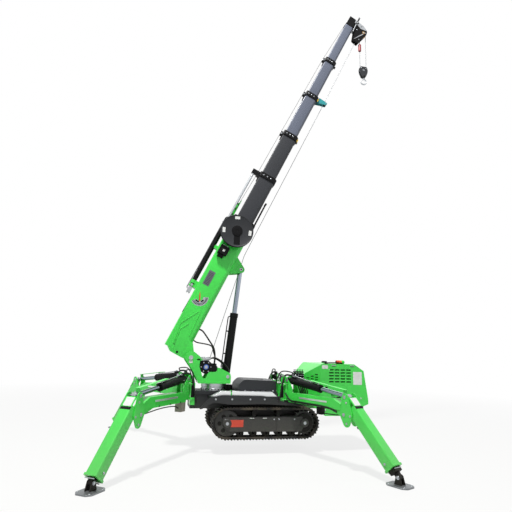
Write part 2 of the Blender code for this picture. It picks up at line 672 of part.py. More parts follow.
solids += [rod((reel_x, -half + 0.01, reel_z), (reel_x, -0.205, reel_z), 0.05, 14),
           rod((reel_x, -half + 0.01, reel_z), (reel_x, -0.275, reel_z), 0.018, 12)]
solids += [box(1.50, 1.63, -0.205, 0.001 - half, 0.24, 0.38),
           box(2.10, 2.46, 0.0, 0.07, 0.4215, 0.4315),
           box(2.10, 2.15, 0.0, 0.07, top - 0.002, 0.430)]
fuse("boom_base", BOOM_GREY, solids,
     [prism(profile(0, -WALL), 0.12, base_end - COLLAR + 0.0, 'X'),
      prism(profile(1, RUN), base_end - COLLAR - 0.01, base_end + 0.01, 'X'),
      rod((0, -0.3, 0), (0, 0.3, 0), 0.0310, 14),
      rod((0.90, TELE_Y, TELE_Z), (2.20, TELE_Y, TELE_Z), 0.0353, 14)],
     boom, "luff")
fuse("tele_barrel", BLACK,
     [rod((0.93, TELE_Y, TELE_Z), (2.08, TELE_Y, TELE_Z), 0.035, 14),
      box(0.885, 0.935, TELE_Y - 0.03, TELE_Y + 0.03, top + SEAT, 0.512)],
     [rod((0.95, TELE_Y, TELE_Z), (2.10, TELE_Y, TELE_Z), 0.0185, 14)],
     boom, "luff")
pivot("reel", boom @ at(reel_x, 0, reel_z), "luff")
fuse("cable_reel", BLACK,
     [rod((reel_x, -0.268, reel_z), (reel_x, -0.2055, reel_z), 0.05, 12),
      rod((reel_x, -0.268, reel_z), (reel_x, -0.258, reel_z), REEL_R, 24),
      rod((reel_x, -0.226, reel_z), (reel_x, -0.216, reel_z), REEL_R, 24),
      rod((reel_x, -0.26, reel_z), (reel_x, -0.22, reel_z), 0.19, 16)],
     [rod((reel_x, -0.3, reel_z), (reel_x, -0.2, reel_z), 0.0189, 12)],
     boom, "reel")

# Telescoping sections, each one sliding in the one before
carrier = "luff"
for index in range(1, 6):
    depth, width, end = SECTIONS[index]
    start = end - SECTION_LENGTH
    last = index == 5
    carrier = pivot("section_%d" % (index + 1), boom @ at(start, 0, BOOM_Z), carrier)
    solids = [prism(profile(index), start, end, 'X'),
              prism(profile(index - 1, -WALL - RUN), start, start + 0.05, 'X')]
    bores = []
    if last:
        bores.append(prism(profile(index, -WALL), start - 0.01, end + 0.01, 'X'))
    else:
        solids.append(prism(profile(index, COLLAR_RIM), end - COLLAR, end, 'X'))
        bores.append(prism(profile(index, -WALL), start - 0.01, end - COLLAR, 'X'))
        bores.append(prism(profile(index + 1, RUN), end - COLLAR - 0.01, end + 0.01,
                           'X'))
    if index == 1:
        solids += [box(end - COLLAR, end - 0.01, TELE_Y - 0.03, TELE_Y + 0.03,
                       BOOM_Z + depth / 2 - 0.002, TELE_Z + 0.03),
                   rod((1.66, TELE_Y, TELE_Z), (2.95, TELE_Y, TELE_Z), 0.018, 14)]
    fuse("boom_section_%d" % (index + 1), BOOM_GREY, solids, bores, boom, carrier)

# Boom head with its sheave, limit weight, hook block and hook
sx, sz = SHEAVE
tip = SECTIONS[5][2]
cheek = [(6.12, -0.036), (6.234, -0.066), (6.374, -0.105), (6.45, -0.09),
         (6.50, 0.0), (6.53, 0.177), (6.531, 0.309), (tip + SEAT, 0.309),
         (tip + SEAT, 0.145), (6.30, 0.12), (6.142, 0.075)]
top_box = [(tip + SEAT, 0.17), (6.525, 0.19), (6.531, 0.309), (tip + SEAT, 0.309)]
fuse("boom_head", DARK,
     [prism(top_box, -0.05, 0.05), prism(cheek, 0.030, 0.042),
      prism(cheek, -0.042, -0.030),
      box(6.15, 6.24, -0.035, 0.035, 0.02, 0.07),
      rod((sx, -0.046, sz), (sx, 0.068, sz), 0.010, 12),
      box(tip + SEAT, tip + 0.02, -0.068, 0.068, 0.150, 0.318)],
     (), boom, carrier)
spot = boom @ Vector((sx, 0, sz))
head_x, head_z = spot.x, spot.z
wheel = at(head_x, 0, head_z)
pivot("head_wheel", wheel, carrier)
solids, bores = sheave((0, 0), 0.056, SHEAVE_R, 0.066, 0.0105)
fuse("head_sheave", BRASS, solids, bores, wheel, "head_wheel", metal=0.7)
fall = SHEAVE_R + ROPE_R + RUN
pivot("hook_swing", wheel, carrier)
weight_z = 6.682 - head_z
fuse("limit_weight", RED,
     [rod((0, 0.0475, 0), (0, 0.0595, 0), 0.019, 12),
      tube([(-0.008, 0.0535, -0.012), (-0.045, 0.0535, weight_z + 0.080),
            (-fall, 0.021, weight_z + 0.050)], 0.0035, 0),
      rod((-fall, 0, weight_z - 0.066), (-fall, 0, weight_z + 0.066), 0.026, 14)],
     [rod((-fall, 0, weight_z - 0.1), (-fall, 0, weight_z + 0.1), 0.011, 10),
      rod((0, 0, 0), (0, 0.1, 0), 0.0105, 12)],
     wheel, "hook_swing")
pivot("hoist", at(head_x, 0, head_z - BLOCK_DROP), "hook_swing")
drop = at(head_x, 0, head_z - BLOCK_DROP)
block_cheek = around((0, 0.0, 0.072), (0, -0.105, 0.036), count=12)
fuse("hook_block", GREEN,
     [prism(block_cheek, 0.0165, 0.026), prism(block_cheek, -0.026, -0.0165),
      box(-0.034, 0.034, -0.020, 0.020, -0.141, -0.085),
      rod((0, -0.034, 0), (0, 0.034, 0), 0.010, 12)],
     [rod((0, 0, -0.2), (0, 0, -0.10), 0.0105, 12)], drop, "hoist")
turn = [(fall * cos(a), 0, fall * sin(a))
        for a in (-pi + pi * i / 16 for i in range(17))]
fuse("hoist_rope", GREY, [tube([(-fall, 0, BLOCK_DROP)] + turn
                               + [(fall, 0, BLOCK_DROP)], ROPE_R)],
     (), drop, "hoist")
pivot("block_wheel", drop, "hoist")
solids, bores = sheave((0, 0), 0.030, SHEAVE_R, 0.062, 0.0105)
fuse("block_sheave", GREY, solids, bores, drop, "block_wheel", metal=0.7)
bend = [(0, 0, -0.112), (0, 0, -0.150)]
for i in range(12):
    a = radians(90 - 24.7 * i)
    bend.append((0.047 * cos(a), 0, -0.213 + 0.047 * sin(a)))
pivot("hook_swivel", drop, "hoist")
fuse("hook", STEEL, [tube(bend, 0.010)], (), drop, "hook_swivel", metal=0.6)

# Luffing cylinder
eye = boom @ Vector((high_x, 0, high_z))
length = hypot(eye.x - low_x, eye.z - low_z)
lift = atan2(eye.z - low_z, eye.x - low_x)
line = at(low_x, 0, low_z, Matrix.Rotation(-lift, 4, 'Y'))
pivot("luff_cylinder", line, "slew")
fuse("luff_barrel", BLACK,
     [rod((0.05, 0, 0), (0.89, 0, 0), 0.055, 16),
      rod((0, -0.0595, 0), (0, 0.0595, 0), 0.046, 12),
      rod((0.02, 0, 0), (0.07, 0, 0), 0.045, 8),
      rod((0.84, 0, 0), (0.90, 0, 0), 0.060, 16)],
     [rod((0, -0.1, 0), (0, 0.1, 0), 0.0249, 14),
      rod((0.10, 0, 0), (0.92, 0, 0), 0.0355, 16)],
     line, "luff_cylinder")
pivot("luff_rod_slide", line, "luff_cylinder")
fuse("luff_rod", STEEL,
     [rod((0.76, 0, 0), (length - 0.02, 0, 0), 0.035, 16),
      rod((length, -0.046, 0), (length, 0.046, 0), 0.045, 14)],
     (), line, "luff_rod_slide", metal=0.9, rough=0.25)

bpy.context.view_layer.update()
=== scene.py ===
import bpy
import numpy as np
from math import asin, atan2, cos, hypot, pi, radians, sin, sqrt
from mathutils import Matrix, Vector


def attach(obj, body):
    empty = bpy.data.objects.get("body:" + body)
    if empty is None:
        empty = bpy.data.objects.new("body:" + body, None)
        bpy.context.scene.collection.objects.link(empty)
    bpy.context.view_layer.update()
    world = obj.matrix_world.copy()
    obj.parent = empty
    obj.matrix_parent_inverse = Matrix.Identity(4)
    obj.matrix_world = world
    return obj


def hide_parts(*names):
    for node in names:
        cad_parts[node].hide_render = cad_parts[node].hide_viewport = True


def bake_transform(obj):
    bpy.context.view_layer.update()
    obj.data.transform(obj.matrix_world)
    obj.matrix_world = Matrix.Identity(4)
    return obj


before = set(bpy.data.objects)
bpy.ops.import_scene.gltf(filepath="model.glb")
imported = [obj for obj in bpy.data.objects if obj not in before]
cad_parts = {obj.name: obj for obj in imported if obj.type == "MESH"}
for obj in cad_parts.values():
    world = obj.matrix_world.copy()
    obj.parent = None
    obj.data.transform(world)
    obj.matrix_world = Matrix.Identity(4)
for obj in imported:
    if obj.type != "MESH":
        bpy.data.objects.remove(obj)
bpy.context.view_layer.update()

# Chassis frame: a centre box, a lower belly box, two side beams over the tracks and a plain
# floor for the engine, welded from folded and flame-cut steel plate. It is sprayed in
# anthracite enamel, and bright treads of drawn aluminium lie on its shoulders.


def linear(text):
    """The linear colour of a six-figure sRGB hex value."""
    value = np.array([int(text[i:i + 2], 16) for i in (0, 2, 4)]) / 255
    value = np.where(value <= 0.04045, value / 12.92, ((value + 0.055) / 1.055) ** 2.4)
    return (*value.tolist(), 1)


def add(tree, kind, settings, links):
    """Add one node with its settings, by name, and its links, by socket."""
    made = tree.nodes.new("ShaderNode" + kind)
    for key, value in settings.items():
        if isinstance(key, str) and hasattr(made, key):
            setattr(made, key, value)
        else:
            made.inputs[key].default_value = value
    for key, source in links.items():
        tree.links.new(source, made.inputs[key])
    return made


def enamel(name, colour, rough=0.34, coat=0.3, peel_mm=3.0, fade=0.10, soil=0.25,
           shine=0.5):
    """Sprayed two-pack enamel. Its clear skin gives a soft gloss, the peel of the sprayed
    film breaks that gloss up, sun and handling leave it uneven over some 400 mm, grit has
    scuffed it in specks, and dry soil clings to it below about 0.75 m."""
    mat = bpy.data.materials.new(name)
    mat.use_nodes = True
    tree = mat.node_tree
    shader = tree.nodes["Principled BSDF"]
    place = add(tree, "TexCoord", {}, {}).outputs["Object"]
    base = linear(colour)
    broad = add(tree, "TexNoise", {"Scale": 2.4, "Detail": 3.0}, {"Vector": place})
    peel = add(tree, "TexNoise", {"Scale": 1000 / peel_mm, "Detail": 2.0}, {"Vector": place})
    grit = add(tree, "TexNoise", {"Scale": 60.0, "Detail": 8.0, "Roughness": 0.7},
               {"Vector": place})
    tone = add(tree, "ValToRGB", {}, {"Fac": broad.outputs["Fac"]})
    tone.color_ramp.elements[0].position, tone.color_ramp.elements[1].position = 0.3, 0.7
    tone.color_ramp.elements[0].color = (*(c * (1 - fade) for c in base[:3]), 1)
    tone.color_ramp.elements[1].color = (*(min(1, c * (1 + fade / 2)) for c in base[:3]), 1)
    specks = add(tree, "MapRange", {"From Min": 0.66, "From Max": 0.74, "To Max": 0.35},
                 {"Value": grit.outputs["Fac"]})
    scuffed = add(tree, "MixRGB", {"Color2": (*(c * 0.55 for c in base[:3]), 1)},
                  {"Fac": specks.outputs["Result"], "Color1": tone.outputs["Color"]})
    height = add(tree, "SeparateXYZ", {}, {"Vector": place})
    low = add(tree, "MapRange", {"From Min": 0.75, "From Max": 0.0, "To Max": 2 * soil},
              {"Value": height.outputs["Z"]})
    cling = add(tree, "Math", {"operation": 'MULTIPLY'},
                {0: low.outputs["Result"], 1: grit.outputs["Fac"]})
    soiled = add(tree, "MixRGB", {"Color2": linear("8d8778")},
                 {"Fac": cling.outputs["Value"], "Color1": scuffed.outputs["Color"]})
    tree.links.new(soiled.outputs["Color"], shader.inputs["Base Color"])
    gloss = add(tree, "MapRange", {"To Min": rough - 0.06, "To Max": rough + 0.16},
                {"Value": grit.outputs["Fac"]})
    tree.links.new(gloss.outputs["Result"], shader.inputs["Roughness"])
    relief = add(tree, "Bump", {"Strength": 0.12, "Distance": 0.0006},
                 {"Height": peel.outputs["Fac"]})
    tree.links.new(relief.outputs["Normal"], shader.inputs["Normal"])
    shader.inputs["Specular IOR Level"].default_value = shine
    shader.inputs["Coat Weight"].default_value = coat
    shader.inputs["Coat Roughness"].default_value = 0.12
    return mat


def metal(name, colour, rough=0.3, mark_mm=2.0, uneven=0.12):
    """Bare or plated metal. Fine marks about mark_mm apart break up its shine, and a dull
    film clouds it over 100 mm."""
    mat = bpy.data.materials.new(name)
    mat.use_nodes = True
    tree = mat.node_tree
    shader = tree.nodes["Principled BSDF"]
    place = add(tree, "TexCoord", {}, {}).outputs["Object"]
    marks = add(tree, "TexNoise", {"Scale": 1000 / mark_mm, "Detail": 4.0},
                {"Vector": place})
    film = add(tree, "TexNoise", {"Scale": 10.0, "Detail": 4.0}, {"Vector": place})
    base = linear(colour)
    tone = add(tree, "ValToRGB", {}, {"Fac": film.outputs["Fac"]})
    tone.color_ramp.elements[0].position, tone.color_ramp.elements[1].position = 0.3, 0.7
    tone.color_ramp.elements[0].color = (*(c * (1 - uneven) for c in base[:3]), 1)
    tone.color_ramp.elements[1].color = base
    tree.links.new(tone.outputs["Color"], shader.inputs["Base Color"])
    shader.inputs["Metallic"].default_value = 1.0
    gloss = add(tree, "MapRange", {"To Min": max(0.04, rough - 0.08), "To Max": rough + 0.12},
                {"Value": film.outputs["Fac"]})
    tree.links.new(gloss.outputs["Result"], shader.inputs["Roughness"])
    relief = add(tree, "Bump", {"Strength": 0.10, "Distance": 0.0004},
                 {"Height": marks.outputs["Fac"]})
    tree.links.new(relief.outputs["Normal"], shader.inputs["Normal"])
    return mat


# Anthracite enamel on plate: a grey that is nearly black, with a soft sheen on its edges.
DARK = enamel("anthracite_enamel", "24262a", 0.46, coat=0.0, soil=0.25, shine=0.35)
# Zinc-plated steel, bright and slightly clouded, for bolts, pins and washers.
STEEL = metal("zinc_plated_steel", "b4b8bc", 0.32)
# White lacquer on thin sheet: plain matt white, a little warm.
WHITE = enamel("white_lacquer", "e2e4e3", 0.5, coat=0.0, fade=0.03, soil=0.05)
# Leaf-green enamel, the machine's main colour: bright, with a clear gloss.
GREEN = enamel("leaf_green_enamel", "3cd94a", 0.32, coat=0.35)
# Black enamel on castings and small plates: deep, with narrow highlights.
BLACK = enamel("black_enamel", "09090b", 0.46, coat=0.0, soil=0.08, shine=0.14)
# Drawn aluminium tread, left bright: it throws the light of the room straight back.
TREAD = metal("drawn_aluminium_tread", "eceeef", 0.34, mark_mm=4.0, uneven=0.06)


def around(*items, count=64):
    """Outline of a band pulled tight round circles (x, y, radius) and points (x, y): in
    each direction it takes the farthest circle's own point."""
    circles = np.array([(*item, 0)[:3] for item in items])
    angle = np.arange(count) * 2 * pi / count
    ways = np.column_stack([np.cos(angle), np.sin(angle)])
    far = (circles[:, :2] @ ways.T + circles[:, 2:]).argmax(axis=0)
    line = circles[far, :2] + ways * circles[far, 2:]
    return line[np.abs(line - np.roll(line, 1, axis=0)).max(axis=1) > 1e-7].tolist()


def round_off(points, radius, steps=4):
    """An outline whose corners are parabolas: s (1 - t)^2 + p 2 t (1 - t) + e t^2, from s
    to e about the corner p. The radius is one number or one for each corner."""
    p = np.array(points, float)
    back, on = np.roll(p, 1, axis=0) - p, np.roll(p, -1, axis=0) - p
    long_back = np.linalg.norm(back, axis=1)
    long_on = np.linalg.norm(on, axis=1)
    cut = np.minimum(np.minimum(radius, 0.45 * long_back), 0.45 * long_on)
    s = (p + back * (cut / long_back)[:, None])[:, None]
    e = (p + on * (cut / long_on)[:, None])[:, None]
    t = np.linspace(0, 1, steps + 1)[None, :, None]
    return (s * (1 - t) ** 2 + p[:, None] * 2 * t * (1 - t) + e * t * t).reshape(-1, 2).tolist()


def panel(x0, x1, y0, y1, radius, steps=4):
    """The outline of a rectangle with its corners rounded off."""
    return round_off([(x0, y0), (x1, y0), (x1, y1), (x0, y1)], radius, steps)


def net(rows, columns, ring=False):
    """Faces of a grid whose columns close round. Its rows close too in a ring, and
    otherwise a cap shuts each end."""
    i, j = np.meshgrid(np.arange(rows - (0 if ring else 1)), np.arange(columns),
                       indexing='ij')
    k, n = (i + 1) % rows, (j + 1) % columns
    quads = np.stack([i * columns + j, i * columns + n, k * columns + n, k * columns + j], -1)
    faces = quads.reshape(-1, 4).tolist()
    if not ring:
        last = (rows - 1) * columns
        faces += [list(range(columns))[::-1], list(range(last, last + columns))]
    return faces


def at(x, y, z, turn=None):
    """A place in the machine: a turn first, where there is one, then a move to x, y, z."""
    place = Matrix.Translation((x, y, z))
    return place @ turn if turn else place


def pair(side, near, far):
    """Two distances from the machine's middle on one side of it, the lower one first."""
    return sorted((side * near, side * far))


def circle(count, radius, first=0.0):
    """Places spread evenly round a circle: radius (cos a, sin a), from the angle first."""
    turns = [first + 2 * pi * k / count for k in range(count)]
    return [(radius * cos(a), radius * sin(a)) for a in turns]


# Faces that meet below the first angle are shaded smooth; edges above the second are eased.
SMOOTH_BELOW, EASE_ABOVE = radians(32), radians(40)


class Piece:
    """One visual piece, gathered from closed surfaces in the frame given by place."""

    def __init__(self, name, body, mats, place=Matrix.Identity(4), bevel=0.0025, stands=()):
        self.name, self.body, self.mats, self.place = name, body, mats, place
        self.bevel, self.stands = bevel, stands
        self.points, self.faces, self.finishes = np.empty((0, 3)), [], []

    def keep(self, grid, faces, m=0, turn=None):
        """Take in one surface. Its volume, the sum of a x b . c / 6 over the triangles of
        its faces, is positive when they face outwards, and otherwise they are turned."""
        points = np.asarray(grid, float).reshape(-1, 3)
        a, b, c = points[np.array([(f[0], f[i], f[i + 1]) for f in faces
                                   for i in range(1, len(f) - 1)])].transpose(1, 0, 2)
        if np.sum(np.cross(a, b) * c) < 0:
            faces = [f[::-1] for f in faces]
        place = np.array(self.place @ turn if turn is not None else self.place)
        first = len(self.points)
        self.points = np.vstack([self.points, points @ place[:3, :3].T + place[:3, 3]])
        self.faces += [[first + i for i in f] for f in faces]
        self.finishes += [m] * len(faces)
        return self

    def prism(self, points, low, high, along='Y', m=0, hole=None, turn=None):
        """An outline carried straight along one axis from low to high. Where there is a
        hole, it comes back through the matching inner outline."""
        lines = [(points, low), (points, high)]
        if hole is not None:
            lines += [(hole, high), (hole, low)]
        rings = np.array([np.column_stack([line, np.full(len(line), level)])
                          for line, level in lines])
        order = {'X': (2, 0, 1), 'Y': (0, 2, 1), 'Z': (0, 1, 2)}[along]
        faces = net(len(lines), len(points), hole is not None)
        return self.keep(rings[:, :, order], faces, m, turn)

    def box(self, x0, x1, y0, y1, z0, z1, m=0, turn=None):
        """A rectangle carried from z0 to z1."""
        return self.prism([(x0, y0), (x1, y0), (x1, y1), (x0, y1)], z0, z1, 'Z', m, turn=turn)

    def run(self, path, radii, m=0, n=32):
        """A circle carried along a path: p + r (side cos a + over sin a), where side is the
        path's direction crossed with the axis it least follows, and over is square to both."""
        path = np.array(path, float)
        ahead = np.gradient(path, axis=0)
        ahead /= np.linalg.norm(ahead, axis=1)[:, None]
        side = np.cross(ahead, np.eye(3)[np.abs(ahead).max(axis=0).argmin()])
        side /= np.linalg.norm(side, axis=1)[:, None]
        over = np.cross(ahead, side)
        a = np.arange(n)[None, :, None] * 2 * pi / n
        r = np.broadcast_to(radii, len(path))[:, None, None]
        grid = path[:, None] + r * (side[:, None] * np.cos(a) + over[:, None] * np.sin(a))
        return self.keep(grid, net(len(path), n), m)

    def rod(self, a, b, r, m=0, n=32):
        """A circle carried straight from a to b."""
        return self.run([a, b], r, m, n)

    def bolt(self, c, axis, r, h, m=1):
        """A washer and a six-sided head standing on c."""
        c, axis = Vector(c), Vector(axis).normalized()
        self.rod(c - axis * 0.002, c + axis * h * 0.3, r * 1.35, m, 20)
        return self.rod(c, c + axis * h, r, m, 6)

    def shape(self):
        """Put the gathered points and faces into a mesh object of the scene."""
        mesh = bpy.data.meshes.new(self.name)
        mesh.from_pydata(self.points.tolist(), [], self.faces)
        mesh.polygons.foreach_set("material_index", self.finishes)
        ob = bpy.data.objects.new(self.name, mesh)
        bpy.context.scene.collection.objects.link(ob)
        return ob

    def done(self):
        """Make the object, soften its edges, and let it ride on its body."""
        ob = self.shape()
        for mat in self.mats:
            ob.data.materials.append(mat)
        ob.data.shade_smooth()
        ob.data.set_sharp_from_angle(angle=SMOOTH_BELOW)
        if self.bevel:
            mod = ob.modifiers.new("edge", 'BEVEL')
            mod.width = self.bevel
            mod.segments = 2
            mod.limit_method = 'ANGLE'
            mod.angle_limit = EASE_ABOVE
            mod.harden_normals = True
        if self.body:
            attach(ob, self.body)
        if self.stands:
            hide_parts(*self.stands)
        return ob


chassis = Piece("chassis_frame", "base", [DARK, STEEL, TREAD, GREEN, BLACK],
                stands=("chassis",))
chassis.box(-0.844, 0.72, -0.19, 0.19, 0.56, 0.75)
chassis.box(-0.45, 0.85, -0.165, 0.165, 0.30, 0.565)
chassis.box(-0.60, 0.36, -0.365, 0.365, 0.69, 0.735)
chassis.box(-0.783, -0.354, -0.20, 0.20, 0.745, 0.79)
engine_floor = [(0.55, 0.18), (0.55, -0.18), (0.7683, -0.2173), (0.9505, -0.3917),
                (1.60, -0.3917), (1.60, 0.3917), (0.9505, 0.3917), (0.7683, 0.2173)]
chassis.prism(engine_floor, 0.60, 0.64, 'Z')
chassis.box(1.55, 1.60, -0.25, 0.25, 0.635, 0.70)
beam = round_off([(-0.735, 0.574), (-0.70, 0.574), (-0.55, 0.66), (-0.323, 0.63),
                  (0.119, 0.638), (0.60, 0.618), (0.662, 0.612), (0.355, 0.685),
                  (0.158, 0.743), (-0.437, 0.753), (-0.61, 0.714)], 0.04)
strip = [(-0.59, 0.731), (0.34, 0.731), (0.265, 0.793), (-0.434, 0.803)]
for side in (-1, 1):
    chassis.prism(beam, *pair(side, 0.3605, 0.385))
    chassis.prism(strip, *pair(side, 0.262, 0.345), m=2)
    rib = side * 0.30
    for i in range(9):
        x = -0.40 + i * 0.075
        chassis.box(x, x + 0.045, rib - 0.03, rib + 0.03, 0.797, 0.8005, 1)
    for x in (-0.52, -0.30, -0.05, 0.15):
        chassis.bolt((x, side * 0.385, 0.70), (0, side, 0), 0.009, 0.007)
    chassis.box(-0.314, -0.299, *pair(side, 0.255, 0.352), 0.790, 0.807, 3)
    chassis.box(-0.314, -0.299, *pair(side, 0.345, 0.352), 0.735, 0.807, 3)
chassis.done()

# Deck cover: a box of folded steel sheet with chamfered top edges, bolted down over the
# centre of the frame and sprayed like it. A thin black mat is glued on top.

# The level that the parts on the frame start from, 0.3 mm above its plate.
DECK_Z = 0.7503
deck = Piece("deck_cover", "base", [DARK, STEEL, BLACK], stands=("deck_box",))
folded = [(-0.195, DECK_Z), (0.355, DECK_Z), (0.341, 0.935), (-0.12, 0.95), (-0.195, 0.876)]
deck.prism(round_off(folded, [0.001, 0.001, 0.03, 0.04, 0.03]), -0.25, 0.25)
for x in (-0.10, 0.30):
    for side in (-1, 1):
        deck.bolt((x, side * 0.25, 0.80), (0, side, 0), 0.008, 0.006)
deck.box(0.02, 0.20, -0.06, 0.06, 0.940, 0.9445, 2)
deck.done()

# Slew bearing: two forged steel rings with balls between them, turned bright, with a row of
# screws round the rim. A hydraulic motor in a black casting stands beside it and drives it.

# The slewing axis, the underside of the ring and its radius.
SLEW_X, RING_Z, RING_R = -0.506, 0.7903, 0.178


def turned(piece, base, direction, profile, m=0, n=40):
    """A closed profile of (distance, radius) turned about a line: base + d axis +
    r (side cos a + over sin a), for each d, r of the profile and each angle a."""
    turn = np.array(Vector(direction).to_track_quat('Z', 'Y').to_matrix())
    d, r = np.array(profile, float).T[:, :, None]
    a = np.arange(n)[None, :] * 2 * pi / n
    local = np.stack([r * np.cos(a), r * np.sin(a), d + 0 * a], axis=-1)
    return piece.keep(local @ turn.T + np.array(base), net(len(profile), n, True), m)


ring = Piece("slew_bearing", "base", [STEEL, BLACK], stands=("slew_ring",), bevel=0.0015)
rings = [(0, 0.10), (0, RING_R), (0.03, RING_R), (0.032, 0.172), (0.05, 0.172),
         (0.052, RING_R), (0.0947, RING_R), (0.0947, 0.10)]
turned(ring, (SLEW_X, 0, RING_Z), (0, 0, 1), rings, 0, 64)
for x, y in circle(24, 1):
    screw = Vector((SLEW_X + RING_R * x, RING_R * y, 0.806))
    outward = Vector((x, y, 0))
    ring.rod(screw - outward * 0.01, screw + outward * 0.004, 0.008, 1, 8)
ring.rod((-0.30, -0.10, RING_Z), (-0.30, -0.10, 0.87), 0.045, 1)
ring.box(-0.37, -0.29, -0.13, -0.07, 0.80, 0.86, 1)
ring.done()

# Outrigger brackets: two pairs of ears flame-cut from 12 mm plate on a folded post, welded to
# each end of the frame and sprayed green. An arm's pin stands between each pair of ears.

# Where the arms' pins stand: along the machine, and to each side of it.
POST_X, POST_Y = {"front": -0.91, "rear": 0.48}, 0.328
for name, outward in (("front", -1), ("rear", 1)):
    post_x = POST_X[name]
    near, far = post_x - outward * 0.05, post_x - outward * 0.11
    x0, x1 = sorted((near, far))
    bracket = Piece("outrigger_bracket_" + name, "base", [GREEN, STEEL, BLACK],
                    stands=("leg_bracket_" + name,))
    for side in (-1, 1):
        y = side * POST_Y
        plate = around((post_x, y, 0.06), (far, side * 0.36), (near, side * 0.36),
                       (far, side * 0.1903), (near, side * 0.1903))
        bracket.prism(plate, 0.892, 0.904, 'Z')
        bracket.prism(plate, 0.693, 0.705, 'Z')
        bracket.box(x0, x1, *pair(side, 0.36, 0.1903), 0.625, 0.904)
        bracket.box(x0 + 0.008, x1 - 0.008, *pair(side, 0.3595, 0.3625), 0.722, 0.876, 2)
    bracket.box(x0, x1, -0.20, 0.20, DECK_Z, 0.79)
    bracket.done()

# Tracks: endless belts moulded in black rubber over steel cords, with low staggered lugs that
# hold dry soil. Inside runs a frame of dark enamelled plate with steel rollers, a toothed
# wheel at the rear, a plain one at the front, and hubs bolted to their final drives.


def moulded_rubber(name, colour, rough=0.72, grain_mm=8.0, soil=0.35):
    """Moulded rubber: matt and dark, with the mould's fine grain, and grey where soil and
    bloom lie on it. A real grain of 0.5 mm wouldn't show, so it is drawn coarser."""
    mat = bpy.data.materials.new(name)
    mat.use_nodes = True
    tree = mat.node_tree
    shader = tree.nodes["Principled BSDF"]
    place = add(tree, "TexCoord", {}, {}).outputs["Object"]
    grain = add(tree, "TexNoise", {"Scale": 1000 / grain_mm, "Detail": 5.0}, {"Vector": place})
    bloom = add(tree, "TexNoise", {"Scale": 7.0, "Detail": 6.0}, {"Vector": place})
    patch = add(tree, "MapRange", {"From Min": 0.42, "From Max": 0.75, "To Max": soil},
                {"Value": bloom.outputs["Fac"]})
    tone = add(tree, "MixRGB", {"Color1": linear(colour), "Color2": linear("6d6355")},
               {"Fac": patch.outputs["Result"]})
    tree.links.new(tone.outputs["Color"], shader.inputs["Base Color"])
    shader.inputs["Roughness"].default_value = rough
    shader.inputs["Specular IOR Level"].default_value = 0.3
    relief = add(tree, "Bump", {"Strength": 0.35, "Distance": 0.001},
                 {"Height": grain.outputs["Fac"]})
    tree.links.new(relief.outputs["Normal"], shader.inputs["Normal"])
    return mat


# Track rubber: matt black-brown with soil in its pattern.
RUBBER = moulded_rubber("moulded_track_rubber", "1b1a1a", soil=0.6)
# Red-orange enamel: the ground of the plain plate on the track frame and small caps.
RED = enamel("signal_red_enamel", "d63a1c", 0.4, soil=0.1)
# The two end wheels, and the belt's outer and inner radius round them.
X0, X1, TZ = -0.354, 0.726, 0.39
R_ROOT, R_IN = 0.196, 0.174
# Lugs on a belt, teeth on its rear wheel, and rollers along the ground.
LUGS, TEETH, ROLLERS = 80, 18, 5


def arc(cx, cy, r, a0, a1, steps):
    """Points on a circle, evenly from the angle a0 to a1."""
    a = np.linspace(a0, a1, steps + 1)
    return np.column_stack([cx + r * np.cos(a), cy + r * np.sin(a)]).tolist()


def along_track(s, r):
    """Place and angle at the distance s round a belt: along the ground, up round the rear
    wheel, back along the top and down round the front one."""
    run, bend = X1 - X0, pi * R_ROOT
    if s < run:
        return X0 + s, TZ - r, -pi / 2
    if s < run + bend:
        a = (s - run) / R_ROOT - pi / 2
        return X1 + r * cos(a), TZ + r * sin(a), a
    if s < 2 * run + bend:
        return X1 - (s - run - bend), TZ + r, pi / 2
    a = pi / 2 + (s - 2 * run - bend) / R_ROOT
    return X0 + r * cos(a), TZ + r * sin(a), a


def loop(r, n=26):
    """A belt's outline: a half circle round each end wheel."""
    return arc(X1, TZ, r, -pi / 2, pi / 2, n) + arc(X0, TZ, r, pi / 2, 3 * pi / 2, n)


